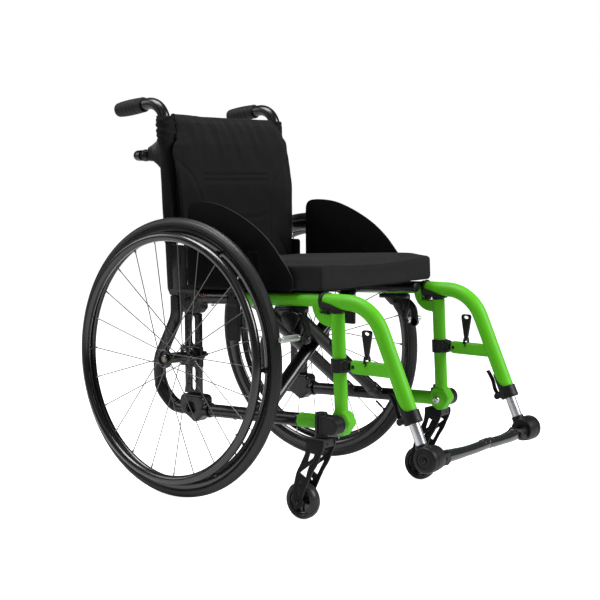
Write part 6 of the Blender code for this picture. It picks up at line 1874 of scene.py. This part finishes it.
def makeBackPanel():
    own = backLook
    made = sidePlate([(-0.026, 0.4545), (-0.0275, 0.54), (-0.029, 0.65), (-0.044, 0.748),
        (-0.06, 0.793), (-0.0755, 0.811), (-0.0845, 0.8105), (-0.083, 0.78), (-0.062, 0.74),
        (-0.058, 0.54), (-0.04, 0.48), (-0.034, 0.4545)], -own["start"], own["start"], 0.007,
        segments=3)
    swell(made, own)
    widest = max(abs(vertex.co.x) for vertex in made.data.vertices)
    moved = []
    for vertex in made.data.vertices:
        x, y, z = vertex.co
        x *= valueAt(backWidths[-1 if x < 0 else 1], z) / widest
        # the padding thins out to a flap at each side
        behindFront = y - (chair["axleY"] - valueAt(backFront, z))
        if behindFront > 0:
            y -= behindFront * own["flap"] * smoothStep(0.138, 0.16,
                abs(x)) * (1 - smoothStep(0.78, 0.8, z))
        z += 0.0022 * smoothStep(-0.06, -0.12, x) * smoothStep(0.78, 0.8, z)
        normal = vertex.normal
        front = max(0.0, -normal.y)
        depth = 0.0
        if front > 0.2:
            near = min(lineDistance(x, z, seam) for seam in backSeams)
            depth += own["channelDepth"] * hump(near, own["channel"]) - own["puff"] * hump(near - 0.009,
                0.006)
            for place, lean, width, deep, lower in backCreases:
                away = x - place - lean * (0.8 - z)
                fade = smoothStep(lower, lower + 0.06, z) * (1 - 0.5 * smoothStep(0.785, 0.81, z))
                depth += 1.5 * deep * fade * (hump(away, width) - 0.55 * hump(away - width * 1.7,
                    width))
            # pulls towards the lower corners
            for face in (-1, 1):
                away = (x * face - 0.15) * 0.8 + (z - 0.512) * 0.6
                depth += 0.0028 * hump(away, 0.006) * smoothStep(0.1, 0.14,
                    x * face) * (1 - smoothStep(0.52, 0.56, z))
            depth += 0.0006 * sin(x * 95 + z * 23) * sin(z * 61 - x * 17)
        else:
            depth += 0.0007 * sin(z * 140 + x * 60)
        place = Vector((x, y, z)) - normal * depth * max(front, 0.3)
        # it passes in front of the canes and their brackets
        if abs(place.x) > 0.159:
            limit = -0.0345 if place.z < 0.5335 else caneAhead(place.z) + 0.0136
            share = smoothStep(0.159, 0.164, abs(place.x))
            behind = chair["axleY"] - limit
            if place.y > behind:
                place.y += (behind - place.y) * share
        moved.append(place)
    for vertex, place in zip(made.data.vertices, moved):
        vertex.co = place
    return made


def makeSleeve(face):
    own = backLook
    foot, top = own["sleeveLow"], own["sleeveTop"]
    count = 74
    outer = [(own["sleeve"], foot + (top - foot) * step / count) for step in range(count + 1)]
    profile = [(own["bore"], foot)] + outer + [(own["bore"], top)]
    made = turned(profile, Matrix.Identity(4), 56, closed=True)
    for vertex in made.data.vertices:
        x, y, z = vertex.co
        radius = hypot(x, y)
        turn = atan2(y, x)
        if radius > own["bore"] + 0.0008:
            gather = smoothStep(0.735, 0.762, z)
            fold = sin(z * 560 + 1.9 * sin(turn * 2 + 1) + 2.2 * sin(turn)) * 0.6
            fold += sin(z * 330 - 2.6 * sin(turn + 0.7) + turn * 2) * 0.5
            soft = sin(z * 60 + turn) * 0.0002 + 0.0003 * sin(turn * 5 + z * 20)
            bunch = 1.0 if face < 0 else 0.3
            radius += gather * bunch * (0.0045 + 0.0021 * fold) + (1 - gather) * soft
            radius -= 0.0022 * smoothStep(top - 0.004, top, z) + 0.002 * smoothStep(foot + 0.004, foot,
                z)
        centre = spot(caneX * face, caneAhead(z), z)
        vertex.co = (centre.x + radius * cos(turn), centre.y + radius * sin(turn), z)
    inner = caneLook["barHeight"]
    slot = box((caneX * face - 0.0104, caneAhead(inner) - 0.009, inner - 0.0335),
        (caneX * face + 0.0104, caneAhead(inner) - 0.05, inner + 0.0335))
    return carve(cleanUp(made), slot)


def makeWeb(face):
    # the cloth that joins a sleeve to the back of the panel
    return sidePlate([(-0.034, 0.536), (-0.0345, 0.64), (-0.047, 0.74), (-0.064, 0.788), (-0.079, 0.788),
        (-0.074, 0.7), (-0.069, 0.6), (-0.066, 0.536)], 0.159 * face, 0.17 * face, 0.0022, segments=3)


def makeBackSeams(panel):
    # piping down both edges and a hem along the top
    lines = []
    for face in (-1, 1):
        for inset, ahead in ((0.0006, -0.0335), (0.0006, -0.044)):
            points = []
            for step in range(41):
                height = 0.555 + 0.175 * step / 40
                width = valueAt(backWidths[face], height)
                points.append(spot(face * (width + inset), ahead - 0.1 * max(0.0, height - 0.65),
                    height))
            lines.append(seamCord(panel, points, 0.0009, 0.0002))
    hem = [spot(x / 100, -0.0625, 0.79) for x in range(-15, 16)]
    lines.append(seamCord(panel, hem, 0.0005, 0.0002))
    return joinUp(*lines)


panel = makeBackPanel()
seams = makeBackSeams(panel)
back = settle(joinUp(panel, makeSleeve(-1), makeSleeve(1), makeWeb(-1), makeWeb(1), seams),
    "backUpholstery", "right_side", "cloth", ["back_upholstery"], 60)
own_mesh(back)
print("back upholstery done")


# Floor, light and camera

stageLook = {"floorGlow": 0.08, "floorSeen": 0.96, "worldGlow": 0.09, "worldSeen": 1.0}


def seenByCamera(tree, socket, glow, seen):
    # paler where it is only the background of the picture than where it lights the chair
    rays = tree.nodes.new("ShaderNodeLightPath")
    share = tree.nodes.new("ShaderNodeMapRange")
    share.inputs["To Min"].default_value = glow
    share.inputs["To Max"].default_value = seen
    tree.links.new(rays.outputs["Is Camera Ray"], share.inputs["Value"])
    tree.links.new(share.outputs["Result"], socket)


def makeStage():
    pickNothing()
    bpy.ops.mesh.primitive_plane_add(size=30, location=(0, 0, -0.0006))
    floor = bpy.context.object
    floor.name = "floor"
    applyPlace(floor)
    paper = bpy.data.materials.new("palePaper")
    paper.use_nodes = True
    look = paper.node_tree.nodes["Principled BSDF"]
    look.inputs["Base Color"].default_value = (0.8, 0.8, 0.8, 1)
    look.inputs["Roughness"].default_value = 0.8
    look.inputs["Specular IOR Level"].default_value = 0.0
    look.inputs["Emission Color"].default_value = (1, 1, 1, 1)
    seenByCamera(paper.node_tree, look.inputs["Emission Strength"], stageLook["floorGlow"],
        stageLook["floorSeen"])
    floor.data.materials.append(paper)


def addSoftbox(name, place, target, size, power, colour=(1, 1, 1)):
    lamp = bpy.data.lights.new(name, "AREA")
    lamp.shape = "RECTANGLE"
    lamp.size, lamp.size_y = size
    lamp.energy = power
    lamp.color = colour
    holder = bpy.data.objects.new(name, lamp)
    bpy.context.scene.collection.objects.link(holder)
    holder.location = place
    holder.rotation_euler = (Vector(target) - Vector(place)).to_track_quat("-Z", "Y").to_euler()


makeStage()
addSoftbox("keyLight", (1.0, -2.8, 2.2), (0, 0, 0.4), (1.8, 1.8), 120)
addSoftbox("fillLight", (-2.8, -0.4, 1.9), (0, 0, 0.4), (1.0, 1.8), 4)
addSoftbox("topLight", (-0.6, 0.6, 3.0), (0, 0, 0.4), (1.0, 2.2), 84)
addSoftbox("rimLight", (-1.6, 2.6, 1.8), (0, 0, 0.4), (1.2, 1.6), 16)
world = bpy.context.scene.world or bpy.data.worlds.new("studio")
bpy.context.scene.world = world
world.use_nodes = True
world.node_tree.nodes["Background"].inputs[0].default_value = (1, 1, 1, 1)
seenByCamera(world.node_tree, world.node_tree.nodes["Background"].inputs[1], stageLook["worldGlow"],
    stageLook["worldSeen"])
bpy.context.scene.view_settings.view_transform = "Standard"

shot = {"place": (-2.0179296, -1.6568926, 0.671805), "yaw": 39.736166, "pitch": -5.717234,
    "roll": -0.138779, "lens": 72.664}
yaw, pitch, roll = (radians(shot[key]) for key in ("yaw", "pitch", "roll"))
forward = Vector((cos(pitch) * cos(yaw), cos(pitch) * sin(yaw), sin(pitch)))
side = forward.cross(Vector((0, 0, 1))).normalized()
upward = side.cross(forward)
sideTurned = side * cos(roll) + upward * sin(roll)
upTurned = upward * cos(roll) - side * sin(roll)
eye = bpy.data.cameras.new("photoCamera")
eye.sensor_width = 36
eye.lens = shot["lens"]
camera = bpy.data.objects.new("photoCamera", eye)
bpy.context.scene.collection.objects.link(camera)
camera.matrix_world = Matrix((sideTurned, upTurned, -forward)).transposed().to_4x4()
camera.location = shot["place"]
bpy.context.scene.camera = camera
